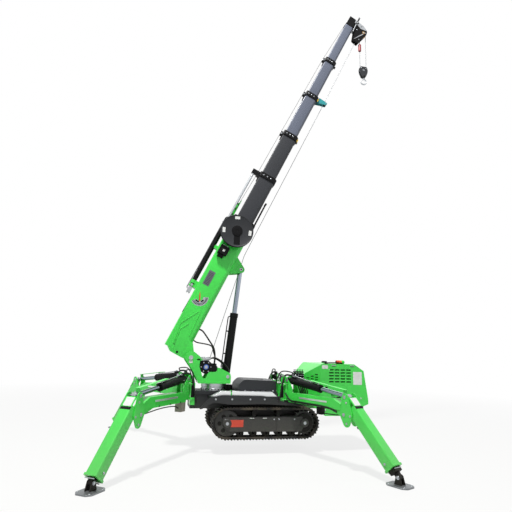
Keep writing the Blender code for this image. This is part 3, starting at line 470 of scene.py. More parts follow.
TOTAL = 2 * (X1 - X0) + 2 * pi * R_ROOT
for side, name in ((-1, "left"), (1, "right")):
    y0, y1 = pair(side, 0.20, 0.40)
    yc = (y0 + y1) / 2
    track = Piece("rubber_track_" + name, "base", [RUBBER], stands=("track_" + name,),
                  bevel=0.002)
    track.prism(loop(R_ROOT), y0, y1, hole=loop(R_IN))
    for i in range(LUGS):
        x, z, a = along_track((i + 0.5) / LUGS * TOTAL, R_ROOT)
        turn = at(x, yc, z, Matrix.Rotation(-a, 4, 'Y'))
        lug = [(-0.003, -0.012), (-0.003, 0.012), (0.0135, 0.007), (0.0135, -0.007)]
        for part in ((-0.099, -0.012), (0.012, 0.099)) if i % 2 else ((-0.086, 0.086),):
            track.prism(lug, part[0], part[1], 'Y', turn=turn)
    track.done()
    wheels = Piece("track_frame_parts_" + name, "base", [DARK, STEEL, BLACK, WHITE, RED],
                   stands=("track_frame_" + name,))
    face = side * 0.372
    body = round_off([(-0.417, 0.472), (-0.412, 0.346), (-0.330, 0.283), (0.68, 0.277),
                      (0.72, 0.36), (0.70, 0.472)], 0.02)
    wheels.prism(body, *pair(side, 0.225, 0.372))
    skin = round_off([(-0.405, 0.462), (-0.400, 0.352), (-0.325, 0.293), (0.31, 0.285),
                      (0.318, 0.462)], 0.015)
    f0, f1 = sorted((face, face + side * 0.006))
    wheels.prism(skin, f0, f1)
    skin = round_off([(0.335, 0.462), (0.330, 0.285), (0.655, 0.285), (0.60, 0.462)], 0.015)
    wheels.prism(skin, f0, f1)
    w0, w1 = pair(side, 0.24, 0.36)
    low, high = TZ - R_IN + 0.0003, TZ + R_IN
    roller = [(0, 0.015), (0, 0.05), (0.035, 0.05), (0.04, 0.038), (0.08, 0.038),
              (0.085, 0.05), (0.12, 0.05), (0.12, 0.015)]
    for i in range(ROLLERS):
        x = X0 + (X1 - X0) * (i + 1) / (ROLLERS + 1)
        turned(wheels, (x, w0, low + 0.05), (0, 1, 0), roller, 2, 32)
    for x in (0.02, 0.36):
        wheels.rod((x, w0, high - 0.0353), (x, w1, high - 0.0353), 0.035, 2)
        wheels.box(x - 0.02, x + 0.02, *pair(side, 0.27, 0.33), 0.46, high - 0.03)
    plain_wheel = [(0, 0.03), (0, 0.165), (0.012, 0.1724), (0.108, 0.1724), (0.12, 0.165),
                   (0.12, 0.03)]
    turned(wheels, (X0, w0, TZ), (0, 1, 0), plain_wheel, 0, 56)
    for x, z in circle(6, 0.10):
        hole = Vector((X0 + x, side * 0.36, TZ + z))
        wheels.rod(hole - Vector((0, side * 0.03, 0)), hole + Vector((0, side * 0.001, 0)),
                   0.028, 2)
    tooth = np.array([(0.0, 0.150), (0.28, 0.150), (0.40, 0.1722), (0.62, 0.1722),
                      (0.74, 0.150)])
    a = (2 * pi * (np.arange(TEETH)[:, None] + tooth[:, 0]) / TEETH).ravel()
    r = np.tile(tooth[:, 1], TEETH)
    gear = np.column_stack([X1 + r * np.cos(a), TZ + r * np.sin(a)]).tolist()
    wheels.prism(gear, w0 + 0.03, w1 - 0.03)
    wheels.rod((X1, w0, TZ), (X1, w1, TZ), 0.12, 2)
    hub = [(0, 0.02), (0, 0.06), (0.145, 0.06), (0.157, 0.05), (0.157, 0.02)]
    for x in (X0, X1):
        turned(wheels, (x, side * 0.235, TZ), (0, side, 0), hub, 0, 32)
        wheels.rod((x, side * 0.385, TZ), (x, side * 0.392, TZ), 0.022, 1)
        for dx, dz in circle(6, 0.042):
            wheels.bolt((x + dx, side * 0.385, TZ + dz), (0, side, 0), 0.005, 0.005)
    for x in (-0.22, 0.46):
        wheels.box(x, x + 0.12, *pair(side, 0.1653, 0.235), 0.36, 0.46)
    if side < 0:
        wheels.box(-0.325, -0.135, face - 0.0085, face - 0.004, 0.345, 0.435, 4)
    for x in (-0.05, 0.13):
        wheels.box(x, x + 0.06, *sorted((face + side * 0.004, face + side * 0.0085)), 0.452,
                   0.460, 3)
    for x in (-0.38, 0.29, 0.36, 0.58):
        wheels.bolt((x, face + side * 0.005, 0.44), (0, side, 0), 0.007, 0.005)
    wheels.done()

# Engine housing: a hood of 6 mm moulded sheet with cut corners, sprayed green, its cooling
# slots punched through in rows. Here it is cut from a solid, hollowed and then slotted.


def carve(piece, operation, tools):
    """Cut a piece's surface with others, or keep what lies in them."""
    base, *others = [p.shape() for p in (piece, *tools)]
    for other in others:
        mod = base.modifiers.new("cut", 'BOOLEAN')
        mod.operation, mod.object, mod.solver = operation, other, 'EXACT'
    bpy.context.view_layer.update()
    graph = bpy.context.evaluated_depsgraph_get()
    mesh = bpy.data.meshes.new_from_object(base.evaluated_get(graph))
    flat = np.empty(3 * len(mesh.vertices))
    mesh.vertices.foreach_get("co", flat)
    piece.points = flat.reshape(-1, 3)
    piece.faces = [list(face.vertices) for face in mesh.polygons]
    piece.finishes = [0] * len(piece.faces)
    for ob in [base] + others:
        bpy.data.objects.remove(ob, do_unlink=True)
    return piece


def inset(points, d):
    """An outline moved inwards: each corner p goes by (n1 + n2) d / (1 + n1 . n2), with the
    normals n1 and n2 of its two edges."""
    p = np.array(points, float)
    edge = np.roll(p, -1, axis=0) - p
    edge /= np.linalg.norm(edge, axis=1)[:, None]
    normal = np.column_stack([-edge[:, 1], edge[:, 0]])
    before = np.roll(normal, 1, axis=0)
    share = d / (1 + (normal * before).sum(axis=1))
    return (p + (normal + before) * share[:, None]).tolist()


cover_side = [(0.762, 0.66), (0.80, 0.66), (1.015, 0.483), (1.254, 0.482),
              (1.674, 0.64), (1.674, 0.70), (1.61, 1.099), (1.465, 1.189),
              (0.966, 1.185), (0.787, 1.056), (0.762, 1.03)]
# Half the hood's width and the thickness of its sheet.
HALF, THIN = 0.398, 0.006
cover_plan = [(0.762, 0.22), (0.762, -0.22), (0.948, -HALF), (1.69, -HALF),
              (1.69, HALF), (0.948, HALF)]
cover = Piece("engine_housing", "base", [GREEN], stands=("engine_cover",), bevel=0.003)
cover.prism(cover_side, -HALF, HALF)
carve(cover, 'INTERSECT', [Piece("plan", "", []).prism(cover_plan, 0.40, 1.30, 'Z')])
inner_side = inset(cover_side, THIN)
inner_side = ([[inner_side[0][0], 0.40], [1.65, 0.40]]
              + [p for p in inner_side if p[1] > 0.67 and p[0] > 0.765])
inner = Piece("inside", "", []).prism(inner_side, THIN - HALF, HALF - THIN)
inner_plan = inset(cover_plan, THIN)
carve(inner, 'INTERSECT', [Piece("plan", "", []).prism(inner_plan, 0.30, 1.30, 'Z')])
grille = Piece("slots", "", [])
for side in (-1, 1):
    for x0, z0, pitch_x, pitch_z, columns, rows, long, tall in (
            (1.078, 0.935, 0.087, 0.041, 4, 5, 0.073, 0.018),
            (1.106, 0.724, 0.080, 0.032, 2, 2, 0.070, 0.017)):
        for i in range(columns):
            for k in range(rows):
                x, z = x0 + i * pitch_x, z0 + k * pitch_z
                slot = panel(x, x + long, z, z + tall, 0.008, 3)
                grille.prism(slot, *pair(side, 0.37, 0.45))
    lean = at(0.855, side * 0.309, 0,
              Matrix.Rotation(side * atan2(HALF - 0.22, 0.948 - 0.762), 4, 'Z'))
    for column, rows in enumerate((3, 4, 5)):
        for k in range(rows):
            x, z = -0.085 + 0.066 * column, 0.905 - 0.010 * column + 0.036 * k
            grille.box(x, x + 0.044, -0.02, 0.02, z, z + 0.015, turn=lean)
carve(cover, 'DIFFERENCE', [inner, grille])
cover.done()

# Fittings on the hood: latches and hinges of black enamelled steel, screws, two blank plates
# of white lacquered sheet, a filler cap and a beacon of three moulded lenses.


def spline(points, per=8):
    """The smooth run through the points: between b and c, with a before and d after them, it
    is half of 2b + (c - a)t + (2a - 5b + 4c - d)t^2 + (3b - a - 3c + d)t^3."""
    p = np.array([tuple(q) for q in points], float)
    p = np.vstack([2 * p[0] - p[1], p, 2 * p[-1] - p[-2]])
    a, b, c, d = (p[i:len(p) - 3 + i, None] for i in range(4))
    t = (np.arange(per) / per)[None, :, None]
    run = (2 * b + (c - a) * t + (2 * a - 5 * b + 4 * c - d) * t ** 2
           + (3 * b - a - 3 * c + d) * t ** 3) / 2
    return np.vstack([run.reshape(-1, 3), p[-2]])


def piped(piece, points, r, m=0, n=12, smooth=0):
    """A round hose or pipe carried along the points, or along the smooth run through them."""
    path = spline(points, smooth) if smooth else [tuple(p) for p in points]
    return piece.run(path, r, m, n)


# Orange lens, moulded in tinted plastic with a clear gloss.
ORANGE = enamel("orange_moulded_lens", "ef6a1e", 0.25, coat=0.6, soil=0.0)
# Hydraulic hose: smooth extruded rubber, black with a dull sheen.
HOSE = moulded_rubber("extruded_hose_rubber", "101012", 0.5, grain_mm=4.0, soil=0.06)
trim = Piece("engine_housing_fittings", "base",
             [WHITE, BLACK, STEEL, RED, ORANGE, GREEN, HOSE], bevel=0.0015)
for x0, x1, z0, z1 in ((0.972, 1.063, 1.12, 1.17), (1.445, 1.581, 0.904, 1.083)):
    trim.prism(panel(x0, x1, z0, z1, 0.008), -HALF - 0.0009, -HALF + 0.002)
for side in (-1, 1):
    y = side * HALF
    trim.box(1.02, 1.055, y - 0.006, y + 0.006, 0.845, 0.875, 1)
    trim.rod((1.037, y, 0.86), (1.037, y + side * 0.004, 0.86), 0.008, 2, 16)
    for x in (1.12, 1.40):
        trim.box(x, x + 0.06, y - 0.004, y + side * 0.005 + 0.004, 1.158, 1.170, 1)
        trim.rod((x - 0.004, y, 1.168), (x + 0.064, y, 1.168), 0.006, 2, 12)
    for x, z in ((0.99, 0.70), (1.56, 0.72), (1.50, 0.66), (1.02, 0.56)):
        trim.bolt((x, y, z), (0, side, 0), 0.008, 0.006, 2)
beacon = (-0.30, 1.214)
trim.box(1.235, 1.340, -0.315, -0.285, 1.180, 1.196, 1)
for k, m in enumerate((3, 4, 5)):
    x = 1.227 + 0.040 * k
    trim.rod((x, *beacon), (x + 0.0395, *beacon), 0.025, m)
for x in (1.221, 1.3465):
    trim.rod((x, *beacon), (x + 0.006, *beacon), 0.018, 1)
piped(trim, [(1.05, -0.34, 1.20), (1.12, -0.345, 1.207), (1.22, -0.345, 1.207),
             (1.30, -0.34, 1.20)], 0.006, 1, smooth=4)
for x in (1.05, 1.30):
    trim.rod((x, -0.34, 1.182), (x, -0.34, 1.203), 0.009, 1)
trim.box(1.05, 1.30, -0.30, -0.26, 1.186, 1.193, 1)
trim.rod((1.25, 0.22, 1.184), (1.25, 0.22, 1.205), 0.045, 1)
trim.rod((1.25, 0.22, 1.203), (1.25, 0.22, 1.212), 0.036, 1)
trim.done()

# Valve bank: six slices of black enamelled casting clamped by steel end plates on a green
# post, each with its lever, a moulded knob and two plated unions.


def knob(piece, c, r, m=0, n=16):
    """A ball: c + r (cos b cos a, cos b sin a, sin b), from pole to pole."""
    a = np.arange(n)[None, :] * 2 * pi / n
    b = np.linspace(-0.47 * pi, 0.47 * pi, n // 2)[:, None]
    grid = np.stack([np.cos(b) * np.cos(a), np.cos(b) * np.sin(a), np.sin(b) + 0 * a], -1)
    return piece.keep(np.array(c) + r * grid, net(n // 2, n), m)


# Bronze, cast and turned: warm and a little worn.
BRASS = metal("cast_bronze", "b28a4a", 0.36)
bank = Piece("valve_levers", "base", [BLACK, STEEL, GREEN, BRASS, HOSE],
             stands=("valve_bank",), bevel=0.0015)
bank.box(0.60, 0.75, -0.25, -0.17, 0.962, 1.045)
bank.box(0.64, 0.70, -0.235, -0.175, DECK_Z, 0.965, 2)
bank.box(0.622, 0.718, -0.245, -0.165, DECK_Z, 0.762, 2)
for i in range(6):
    x = 0.611 + 0.0252 * i
    mid = x + 0.008
    bank.box(x, x + 0.017, -0.2515, -0.1685, 0.970, 1.037, 0)
    bank.rod((mid, -0.21, 1.04), (mid, -0.212, 1.056), 0.007, 1, 14)
    bank.box(x - 0.002, x + 0.018, -0.236, -0.188, 1.053, 1.072)
    bank.rod((mid, -0.212, 1.070), (mid, -0.216, 1.086), 0.004, 0, 10)
    knob(bank, (mid, -0.216, 1.090), 0.0085, 0)
    for z in (0.985, 1.018):
        bank.rod((mid, -0.2515, z), (mid, -0.262, z), 0.0065, 1, 6)
for x0, x1 in ((0.592, 0.6035), (0.748, 0.7575)):
    bank.box(x0, x1, -0.24, -0.18, 0.975, 1.035, 1)
bank.done()

# Outriggers: each is a swing arm welded from plate, a green square tube that turns at its
# knee, a black inner tube that slides in it, and a galvanised ground pad on a clevis. A
# hydraulic cylinder, black with a chromed rod, lifts the knee, and hoses run along the arm.

# Hard chrome, ground and polished, with faint marks; its colour is painted darker than bright
# chrome, a painted reflection of dark surroundings.
CHROME_PAINTED_DARK = metal("hard_chromed_steel_painted_dark", "8d96a3", 0.14, mark_mm=6.0, uneven=0.05)
# Hot-dip galvanised plate: grey, dull and cloudy, roughened by the ground.
PAD = metal("galvanised_plate", "8e9194", 0.5, mark_mm=20.0, uneven=0.25)
# The same green on thin guards, painted a shade lighter: painted light, standing in for the
# open light that falls on them.
GREEN_PAINTED_LIT = enamel("leaf_green_enamel_painted_lit", "46d453", 0.36, coat=0.25)
# Grey cast housing, shot-blasted and left bare.
CAST = enamel("grey_cast_housing", "8f8a80", 0.6, coat=0.0, soil=0.1)
# The knee's reach from the post and its height, and the height of the foot's pin.
ARM_R, KNEE_Z, FOOT_Z = 1.10, 0.635, 0.085
# How far the outer tube's middle lies above the knee's pin, its width and its length.
OFF, TUBE, END = 0.1216, 0.135, 0.775
# The lifting cylinder's pin on the arm, and its pin on the outer tube as seen from the knee.
CYL_R, CYL_Z = 0.06, 0.96
EYE = (-0.140, 0.143)
corners = {"front_left": (POST_X["front"], -1, radians(180 + 55.4), 1.707),
           "front_right": (POST_X["front"], 1, radians(180 - 55.4), 1.707),
           "rear_left": (POST_X["rear"], -1, radians(-64.8), 1.789),
           "rear_right": (POST_X["rear"], 1, radians(64.8), 1.789)}
posts = {}
for name, (post_x, side, heading, foot_r) in corners.items():
    post = posts[name] = at(post_x, side * POST_Y, 0, Matrix.Rotation(heading, 4, 'Z'))
    arm = Piece(name + "_swing_arm", name + "_leg", [GREEN, STEEL, TREAD, BLACK, HOSE, CAST],
                post, stands=(name + "_arm",))
    slope = [(ARM_R - 0.20, 0.80), (ARM_R - 0.08, 0.745)]
    arm.prism([(0.095, 0.674), (slope[1][0], 0.674), slope[1], slope[0], (0.095, 0.80)],
              -0.055, 0.055)
    arm.box(0.04, 0.11, -0.053, 0.053, 0.711, 0.798)
    arm.rod((0, 0, 0.7055), (0, 0, 0.8915), 0.045, n=40)
    arm.rod((0, 0, 0.688), (0, 0, 0.7065), 0.0255, 1)
    arm.rod((0, 0, 0.889), (0, 0, 0.9095), 0.0255, 1)
    ear = round_off([(0.075, 0.77), (0.17, 0.77), (0.17, 0.856), (0.05, 1.003),
                     (-0.02, 1.012), (-0.075, 0.972), (-0.07, 0.911), (0.075, 0.911)],
                    [0.001, 0.01, 0.03, 0.04, 0.04, 0.04, 0.02, 0.001], 6)
    for s in (-1, 1):
        arm.prism(ear, *pair(s, 0.0472, 0.0548))
        arm.rod((CYL_R, s * 0.054, CYL_Z), (CYL_R, s * 0.0615, CYL_Z), 0.024, 1)
        arm.bolt((CYL_R, s * 0.060, CYL_Z), (0, s, 0), 0.009, 0.0055)
        arm.prism(panel(0.30, 0.80, 0.738, 0.760, 0.007), *pair(s, 0.0545, 0.0575), m=2)
        arm.rod((ARM_R, s * 0.0495, KNEE_Z), (ARM_R, s * 0.0665, KNEE_Z), 0.045, n=40)
    gusset = around((ARM_R - 0.30, 0.79), (ARM_R - 0.30, 0.68), (slope[0][0], 0.79),
                    (slope[1][0] + 0.01, slope[1][1] - 0.01), (ARM_R, KNEE_Z, 0.045))
    arm.prism(gusset, -0.05, 0.05)
    arm.rod((CYL_R, -0.062, CYL_Z), (CYL_R, 0.062, CYL_Z), 0.015, 1)
    for i in range(3):
        arm.box(0.22 + 0.24 * i, 0.238 + 0.24 * i, -0.0562, 0.0562, 0.6725, 0.69, 3)
    route = [(0.03, 0.79), (0.14, 0.705), (0.30, 0.70), (0.70, 0.695), (0.88, 0.68),
             (0.97, 0.655)]
    for k in (0, 1):
        piped(arm, [(x, -0.0605, z - 0.013 * k) for x, z in route], 0.0055, 4, smooth=6)
    if name == "rear_left":
        arm.box(0.60, 0.69, -0.03, 0.03, 0.580, 0.676, 3)
        piped(arm, [(0.68, 0, 0.60), (0.78, 0, 0.600), (0.90, 0, 0.604), (0.97, 0, 0.612)],
              0.0065, 4, smooth=6)
    if name == "front_left":
        arm.box(0.085, 0.195, -0.045, 0.045, 0.555, 0.676, 5)
        arm.bolt((0.14, -0.045, 0.615), (0, -1, 0), 0.008, 0.006)
        piped(arm, [(0.19, 0, 0.60), (0.30, 0, 0.635), (0.60, 0, 0.640), (0.93, 0, 0.615)],
              0.0065, 4, smooth=6)
    arm.done()

    rise, reach = KNEE_Z - FOOT_Z, foot_r - ARM_R
    long = hypot(reach, rise)
    dip = atan2(rise, reach) + asin(OFF / long)
    along = sqrt(long ** 2 - OFF ** 2)
    knee = post @ at(ARM_R, 0, KNEE_Z, Matrix.Rotation(dip, 4, 'Y'))
    half = TUBE / 2
    z0, z1 = OFF - half, OFF + half
    outer = Piece(name + "_outer_tube", name + "_outer",
                  [GREEN, STEEL, WHITE, BLACK, BRASS], knee,
                  stands=(name + "_outer_leg",))
    shell = panel(-half, half, z0, z1, 0.014)
    bore = panel(0.006 - half, half - 0.006, z0 + 0.006, z1 - 0.006, 0.010)
    outer.prism(shell, 0.005, END, 'X', hole=bore)
    wide, mouth = half + 0.009, 0.053
    outer.prism(panel(-wide, wide, OFF - wide, OFF + wide, 0.014), END - 0.022, END, 'X',
                hole=panel(-mouth, mouth, OFF - mouth, OFF + mouth, 0.008))
    outer.box(-0.10, 0.025, -half, half, z1 - 0.008, z1)
    outer.box(0.0055, 0.020, -half + 0.004, half - 0.004, z0 + 0.004, z1 - 0.004)
    cheek = around((-0.130, 0.1475, 0.047), (0.0885, -0.0311, 0.053),
                   (0.039, 0.0521, 0.06), (-0.0104, -0.0042, 0.055), count=48)
    eye = Vector((EYE[0], 0, EYE[1]))
    for s in (-1, 1):
        outer.prism(cheek, *pair(s, half - 0.0005, half + 0.0125))
        outer.rod((0, s * 0.060, 0), (0, s * 0.0865, 0), 0.020, 1)
        outer.bolt((0, s * 0.0795, 0), (0, s, 0), 0.0135, 0.008)
        outer.rod((EYE[0], s * 0.0305, EYE[1]), (EYE[0], s * 0.086, EYE[1]), 0.015, 1)
        outer.rod((EYE[0], s * half, EYE[1]), (EYE[0], s * 0.083, EYE[1]), 0.021, 1)
        for x, z in ((0.070, 0.062), (0.098, -0.038), (-0.075, 0.120)):
            outer.rod((x, s * 0.078, z), (x, s * 0.0835, z), 0.013, 1, 20)
            outer.rod((x, s * 0.080, z), (x, s * 0.086, z), 0.008, 1, 6)
        outer.rod((0.700, s * 0.066, OFF - 0.02), (0.700, s * 0.0745, OFF - 0.02), 0.013, 1)
        outer.bolt((0.700, s * 0.0735, OFF - 0.02), (0, s, 0), 0.008, 0.006)
    outer.prism(panel(-0.090, 0.018, -0.052, 0.052, 0.006), z1 - 0.001, z1 + 0.0012, 'Z', 2)
    outer.box(0.026, 0.060, -0.0665, 0.0665, z1 - 0.001, z1 + 0.0011, 3)
    outer.box(0.200, 0.225, -0.045, 0.045, z0 - 0.022, z0 + 0.002, 3)
    outer.rod((0.212, -0.03, z0 - 0.016), (0.212, 0.03, z0 - 0.016), 0.012, 3)
    outer.done()

    slide = Piece(name + "_inner_tube", name + "_inner", [BLACK, STEEL], knee,
                  stands=(name + "_inner_leg",))
    thin = 0.0525
    slide.prism(panel(-thin, thin, OFF - thin, OFF + thin, 0.010), 0.10, along - 0.052, 'X')
    shoe = half - 0.0068
    slide.prism(panel(-shoe, shoe, OFF - shoe, OFF + shoe, 0.008), 0.10, 0.15, 'X')
    tongue = around((along, OFF, 0.027), (along - 0.05, OFF - 0.03),
                    (along - 0.05, OFF + 0.03))
    slide.prism(tongue, -0.0218, 0.0218)
    for z in (OFF - thin, OFF + thin):
        slide.box(END + 0.012, END + 0.022, -thin - 0.004, thin + 0.004, z - 0.004, z + 0.004,
                  1)
    slide.done()

    foot = Piece(name + "_ground_pad", name + "_pad", [PAD, STEEL, BLACK],
                 post @ at(foot_r, 0, 0), stands=(name + "_foot",))
    pad = round_off([(-0.135, -0.06), (-0.09, -0.10), (0.09, -0.10), (0.135, -0.06),
                     (0.135, 0.06), (0.09, 0.10), (-0.09, 0.10), (-0.135, 0.06)], 0.012)
    foot.prism(pad, 0, 0.016, 'Z')
    clevis = around((0, FOOT_Z, 0.028), (-0.05, 0.014), (0.05, 0.014))
    for s in (-1, 1):
        foot.prism(clevis, *pair(s, 0.0225, 0.034), m=2)
        foot.bolt((0, s * 0.0335, FOOT_Z), (0, s, 0), 0.015, 0.008)
        for x in (-0.095, 0.095):
            foot.bolt((x, s * 0.072, 0.016), (0, 0, 1), 0.008, 0.006)
    foot.rod((0, -0.041, FOOT_Z), (0, 0.041, FOOT_Z), 0.012, 1)
    foot.done()

    pin = at(ARM_R, 0, KNEE_Z, Matrix.Rotation(dip, 4, 'Y')) @ eye
    length = hypot(pin.x - CYL_R, pin.z - CYL_Z)
    fall = atan2(CYL_Z - pin.z, pin.x - CYL_R)
    line = post @ at(CYL_R, 0, CYL_Z, Matrix.Rotation(fall, 4, 'Y'))
    jack = Piece(name + "_cylinder_body", name + "_cylinder",
                 [BLACK, STEEL, HOSE, BRASS], line, stands=(name + "_barrel",))
    barrel = [(0, 0.012), (0, 0.046), (0.004, 0.048), (0.508, 0.048), (0.512, 0.052),
              (0.548, 0.052), (0.55, 0.050), (0.55, 0.0285), (0.03, 0.0285), (0.03, 0.012)]
    turned(jack, (0.05, 0, 0), (1, 0, 0), barrel, 0, 40)
    foot_eye = [(0, 0.0158), (0, 0.033), (0.001, 0.034), (0.092, 0.034), (0.093, 0.033),
                (0.093, 0.0158)]
    turned(jack, (0, -0.0465, 0), (0, 1, 0), foot_eye, 0, 36)
    jack.rod((0.028, 0, 0), (0.06, 0, 0), 0.034)
    jack.rod((0.085, 0, 0.040), (0.085, 0, 0.070), 0.014, 1)
    jack.rod((0.545, 0, 0.040), (0.545, 0, 0.066), 0.012, 1)
    piped(jack, [(0.085, 0, 0.068), (0.10, 0, 0.078), (0.13, 0, 0.066), (0.32, 0, 0.0575),
                 (0.50, 0, 0.0575), (0.535, 0, 0.068), (0.545, 0, 0.062)], 0.0065, 1, smooth=6)
    jack.box(0.050, 0.125, -0.030, 0.030, 0.040, 0.060)
    jack.done()
    push = Piece(name + "_cylinder_rod", name + "_piston", [CHROME_PAINTED_DARK, GREEN_PAINTED_LIT, STEEL], line,
                 stands=(name + "_rod",))
    # The chromed rod's colour is painted darker, a painted reflection of dark surroundings.
    push.rod((0.36, 0, 0), (length - 0.02, 0, 0), 0.0278, n=40)
    push.rod((length, -0.030, 0), (length, 0.030, 0), 0.031, 2, 36)
    # The end block and its guard strip are in the lighter green, painted lighter for the light
    # on them.
    push.box(length - 0.075, length - 0.045, -0.018, 0.018, 0.0, 0.072, 1)
    push.prism(panel(-0.028, 0.028, 0.068, 0.075, 0.003), 0.42, length - 0.045, 'X', 1)
    push.done()

# Turret: two side cheeks of 16 mm plate on a round base, welded and sprayed green, with the
# boom's pin in their horns. The winch is bolted between them, with blue paint on its hub,
# and an aluminium valve block and its hoses stand on top.

# Blue enamel on the winch's hub.
BLUE = enamel("blue_hub_enamel", "2b5fbe", 0.4, soil=0.0)
# Aluminium, milled and left bare: light grey with a satin sheen.
ALLOY = metal("milled_aluminium", "b6b9bd", 0.42)
# The boom's foot pin, the luffing cylinder's pin and the winch's axis.
PX, PZ = -0.861, 1.229
LOW = (-0.337, 0.98)
WX, WZ = -0.646, 1.106
turret = Piece("slewing_turret", "upper", [GREEN, BLACK, STEEL, WHITE, BLUE, ALLOY, HOSE],
               stands=("turret",))
plan = around((SLEW_X, 0, 0.19), (-0.742, 0.178), (-0.742, -0.178), (-0.294, 0.178),
              (-0.294, -0.178))
turret.prism(plan, 0.8855, 0.917, 'Z')
plate = [(-0.742, 0.897), (-0.294, 0.897), (-0.291, 0.984), (-0.303, 1.026),
         (-0.475, 1.106), (-0.493, 1.044), (-0.611, 1.037), (-0.640, 0.965),
         (-0.666, 0.949), (-0.690, 0.965), (-0.705, 1.024), (-0.741, 1.112),
         (-0.73, 1.195), (-0.722, 1.237), (-0.785, 1.285), (-0.825, 1.314),
         (-0.866, 1.322), (-0.905, 1.310), (-0.935, 1.275), (-0.945, 1.232),
         (-0.929, 1.191), (-0.83, 1.06), (-0.79, 0.98)]
plate = round_off(plate, [0.001, 0.001, 0.03, 0.03, 0.02, 0.02, 0.02, 0.02, 0.02, 0.02,
                          0.02, 0.02, 0.02, 0.02, 0.02, 0.03, 0.03, 0.03, 0.03, 0.03,
                          0.03, 0.05, 0.05])
motor_plate = round_off([(-0.600, 1.055), (-0.492, 1.055), (-0.492, 1.125), (-0.600, 1.140)],
                        0.012)
lug = around((*LOW, 0.045), (LOW[0] - 0.09, 0.91), (LOW[0] + 0.042, 0.91))
for side in (-1, 1):
    turret.prism(plate, *pair(side, 0.162, 0.178))
    turret.prism(lug, *pair(side, 0.060, 0.072))
    turret.rod((WX, side * 0.150, WZ), (WX, side * 0.172, WZ), 0.09, 1, 40)
    turret.rod((WX, side * 0.02, WZ), (WX, side * 0.189, WZ), 0.022, 2)
    turret.rod((WX, side * 0.170, WZ), (WX, side * 0.184, WZ), 0.035, 4 if side < 0 else 1)
    for x, z in circle(6, 0.068):
        turret.bolt((WX + x, side * 0.171, WZ + z), (0, side, 0), 0.0065, 0.006, 2)
    for x, z in circle(4, 0.022, pi / 4):
        turret.rod((WX + x, side * 0.183, WZ + z), (WX + x, side * 0.187, WZ + z), 0.005, 2, 6)
    turret.prism(motor_plate, *pair(side, 0.150, 0.176), m=1)
    turret.rod((PX, side * 0.17, PZ), (PX, side * 0.1885, PZ), 0.030, 2)
    turret.bolt((PX, side * 0.182, PZ), (0, side, 0), 0.013, 0.007, 2)
    turret.rod((LOW[0], side * 0.174, LOW[1]), (LOW[0], side * 0.184, LOW[1]), 0.024, 2)
    turret.bolt((LOW[0], side * 0.1795, LOW[1]), (0, side, 0), 0.010, 0.006, 2)
turret.rod((PX, -0.185, PZ), (PX, 0.185, PZ), 0.0298, 2)
turret.rod((LOW[0], -0.18, LOW[1]), (LOW[0], 0.18, LOW[1]), 0.0238, 2)
turret.prism(panel(-0.885, -0.835, 1.155, 1.193, 0.006), -0.1789, -0.176, m=3)
turret.box(-0.775, -0.70, -0.178, 0.178, 1.195, 1.215)
turret.box(-0.716, -0.575, -0.060, 0.060, 1.198, 1.238, 5)
turret.box(-0.715, -0.60, -0.130, -0.062, 1.190, 1.225, 5)
for k in range(3):
    turret.bolt((-0.69 + 0.035 * k, -0.096, 1.225), (0, 0, 1), 0.006, 0.006, 2)
turret.box(-0.555, -0.49, -0.10, 0.10, 0.907, 1.15, 1)
for k in range(5):
    y = -0.08 + 0.04 * k
    for z in (1.10, 1.04):
        turret.rod((-0.49, y, z), (-0.472, y, z), 0.011, 2, 6)
for side in (-1, 1):
    for k in range(4):
        turret.bolt((-0.44 + 0.045 * k, side * 0.165, 0.917), (0, 0, 1), 0.009, 0.008, 2)
turret.done()

for k, (y, r) in enumerate(((-0.145, 0.009), (-0.122, 0.009), (-0.10, 0.008))):
    line = Piece("turret_hose_%d" % (k + 1), "upper", [HOSE, STEEL], bevel=0)
    piped(line, [(-0.60 - 0.02 * k, y, 1.215), (-0.53, y, 1.235 - 0.006 * k),
                 (-0.44, y, 1.195 - 0.008 * k), (-0.365, y, 1.13 - 0.01 * k),
                 (-0.325, y, 1.07 - 0.01 * k), (-0.318, y, 0.99), (-0.325, y, 0.925)], r,
          smooth=8)
    line.rod((-0.325, y, 0.913), (-0.325, y, 0.940), r * 1.5, 1, 6)
    line.rod((-0.585 - 0.02 * k, y, 1.218), (-0.615 - 0.02 * k, y, 1.212), r * 1.5, 1, 6)
    line.done()

# Winch drum: a steel drum with turned flanges on a shaft between the turret's cheeks, wound
# with one layer of steel wire rope.

# Wire rope: stranded, bright but dulled by grease.
ROPE = metal("stranded_wire_rope", "7f8285", 0.5, mark_mm=3.0, uneven=0.3)
# The rope's radius and that of its coils, their pitch and their number.
ROPE_R, WOUND_R, PITCH, TURNS = 0.0045, 0.0545, 0.0091, 27
drum = Piece("winch_drum_wound", "winch_body", [BLACK, ROPE, STEEL], stands=("winch_drum",),
             bevel=0.0015)
flanges = [(0, 0.0232), (0, 0.080), (0.012, 0.080), (0.012, 0.050), (0.268, 0.050),
           (0.268, 0.080), (0.28, 0.080), (0.28, 0.0232)]
turned(drum, (WX, -0.14, WZ), (0, 1, 0), flanges, 0, 56)
a = np.array([pi, 3 * pi / 4, pi / 2, pi / 4])
turns = -0.1225 + PITCH * np.arange(TURNS)[:, None]
wound = np.stack([turns + PITCH / 2 + 0.14 + 0.0042 * np.cos(a),
                  0 * turns + WOUND_R + ROPE_R * np.sin(a)], -1).reshape(-1, 2).tolist()
turned(drum, (WX, -0.14, WZ), (0, 1, 0), [(0.0172, 0.049)] + wound + [(0.262, 0.049)], 1, 48)
drum.done()

# Boom root section: a box folded from 6 mm plate with a rounded belly, lugs welded on for the
# foot pin and the lifting cylinder, a black collar at its mouth, and stiffening beads. It
# carries a blank engraved plate, a dial with a hanging needle, and the reel's bearing.

# Engraved plate: anodised aluminium sheet, dark grey.
PLATE = enamel("anodised_plate", "5d6167", 0.45, coat=0.0, soil=0.0)
# The boom's frame at rest: x runs along the boom from its foot pin, and z to its back.
LUFF = radians(64.6)
boom = at(PX, 0, PZ, Matrix.Rotation(-LUFF, 4, 'Y'))
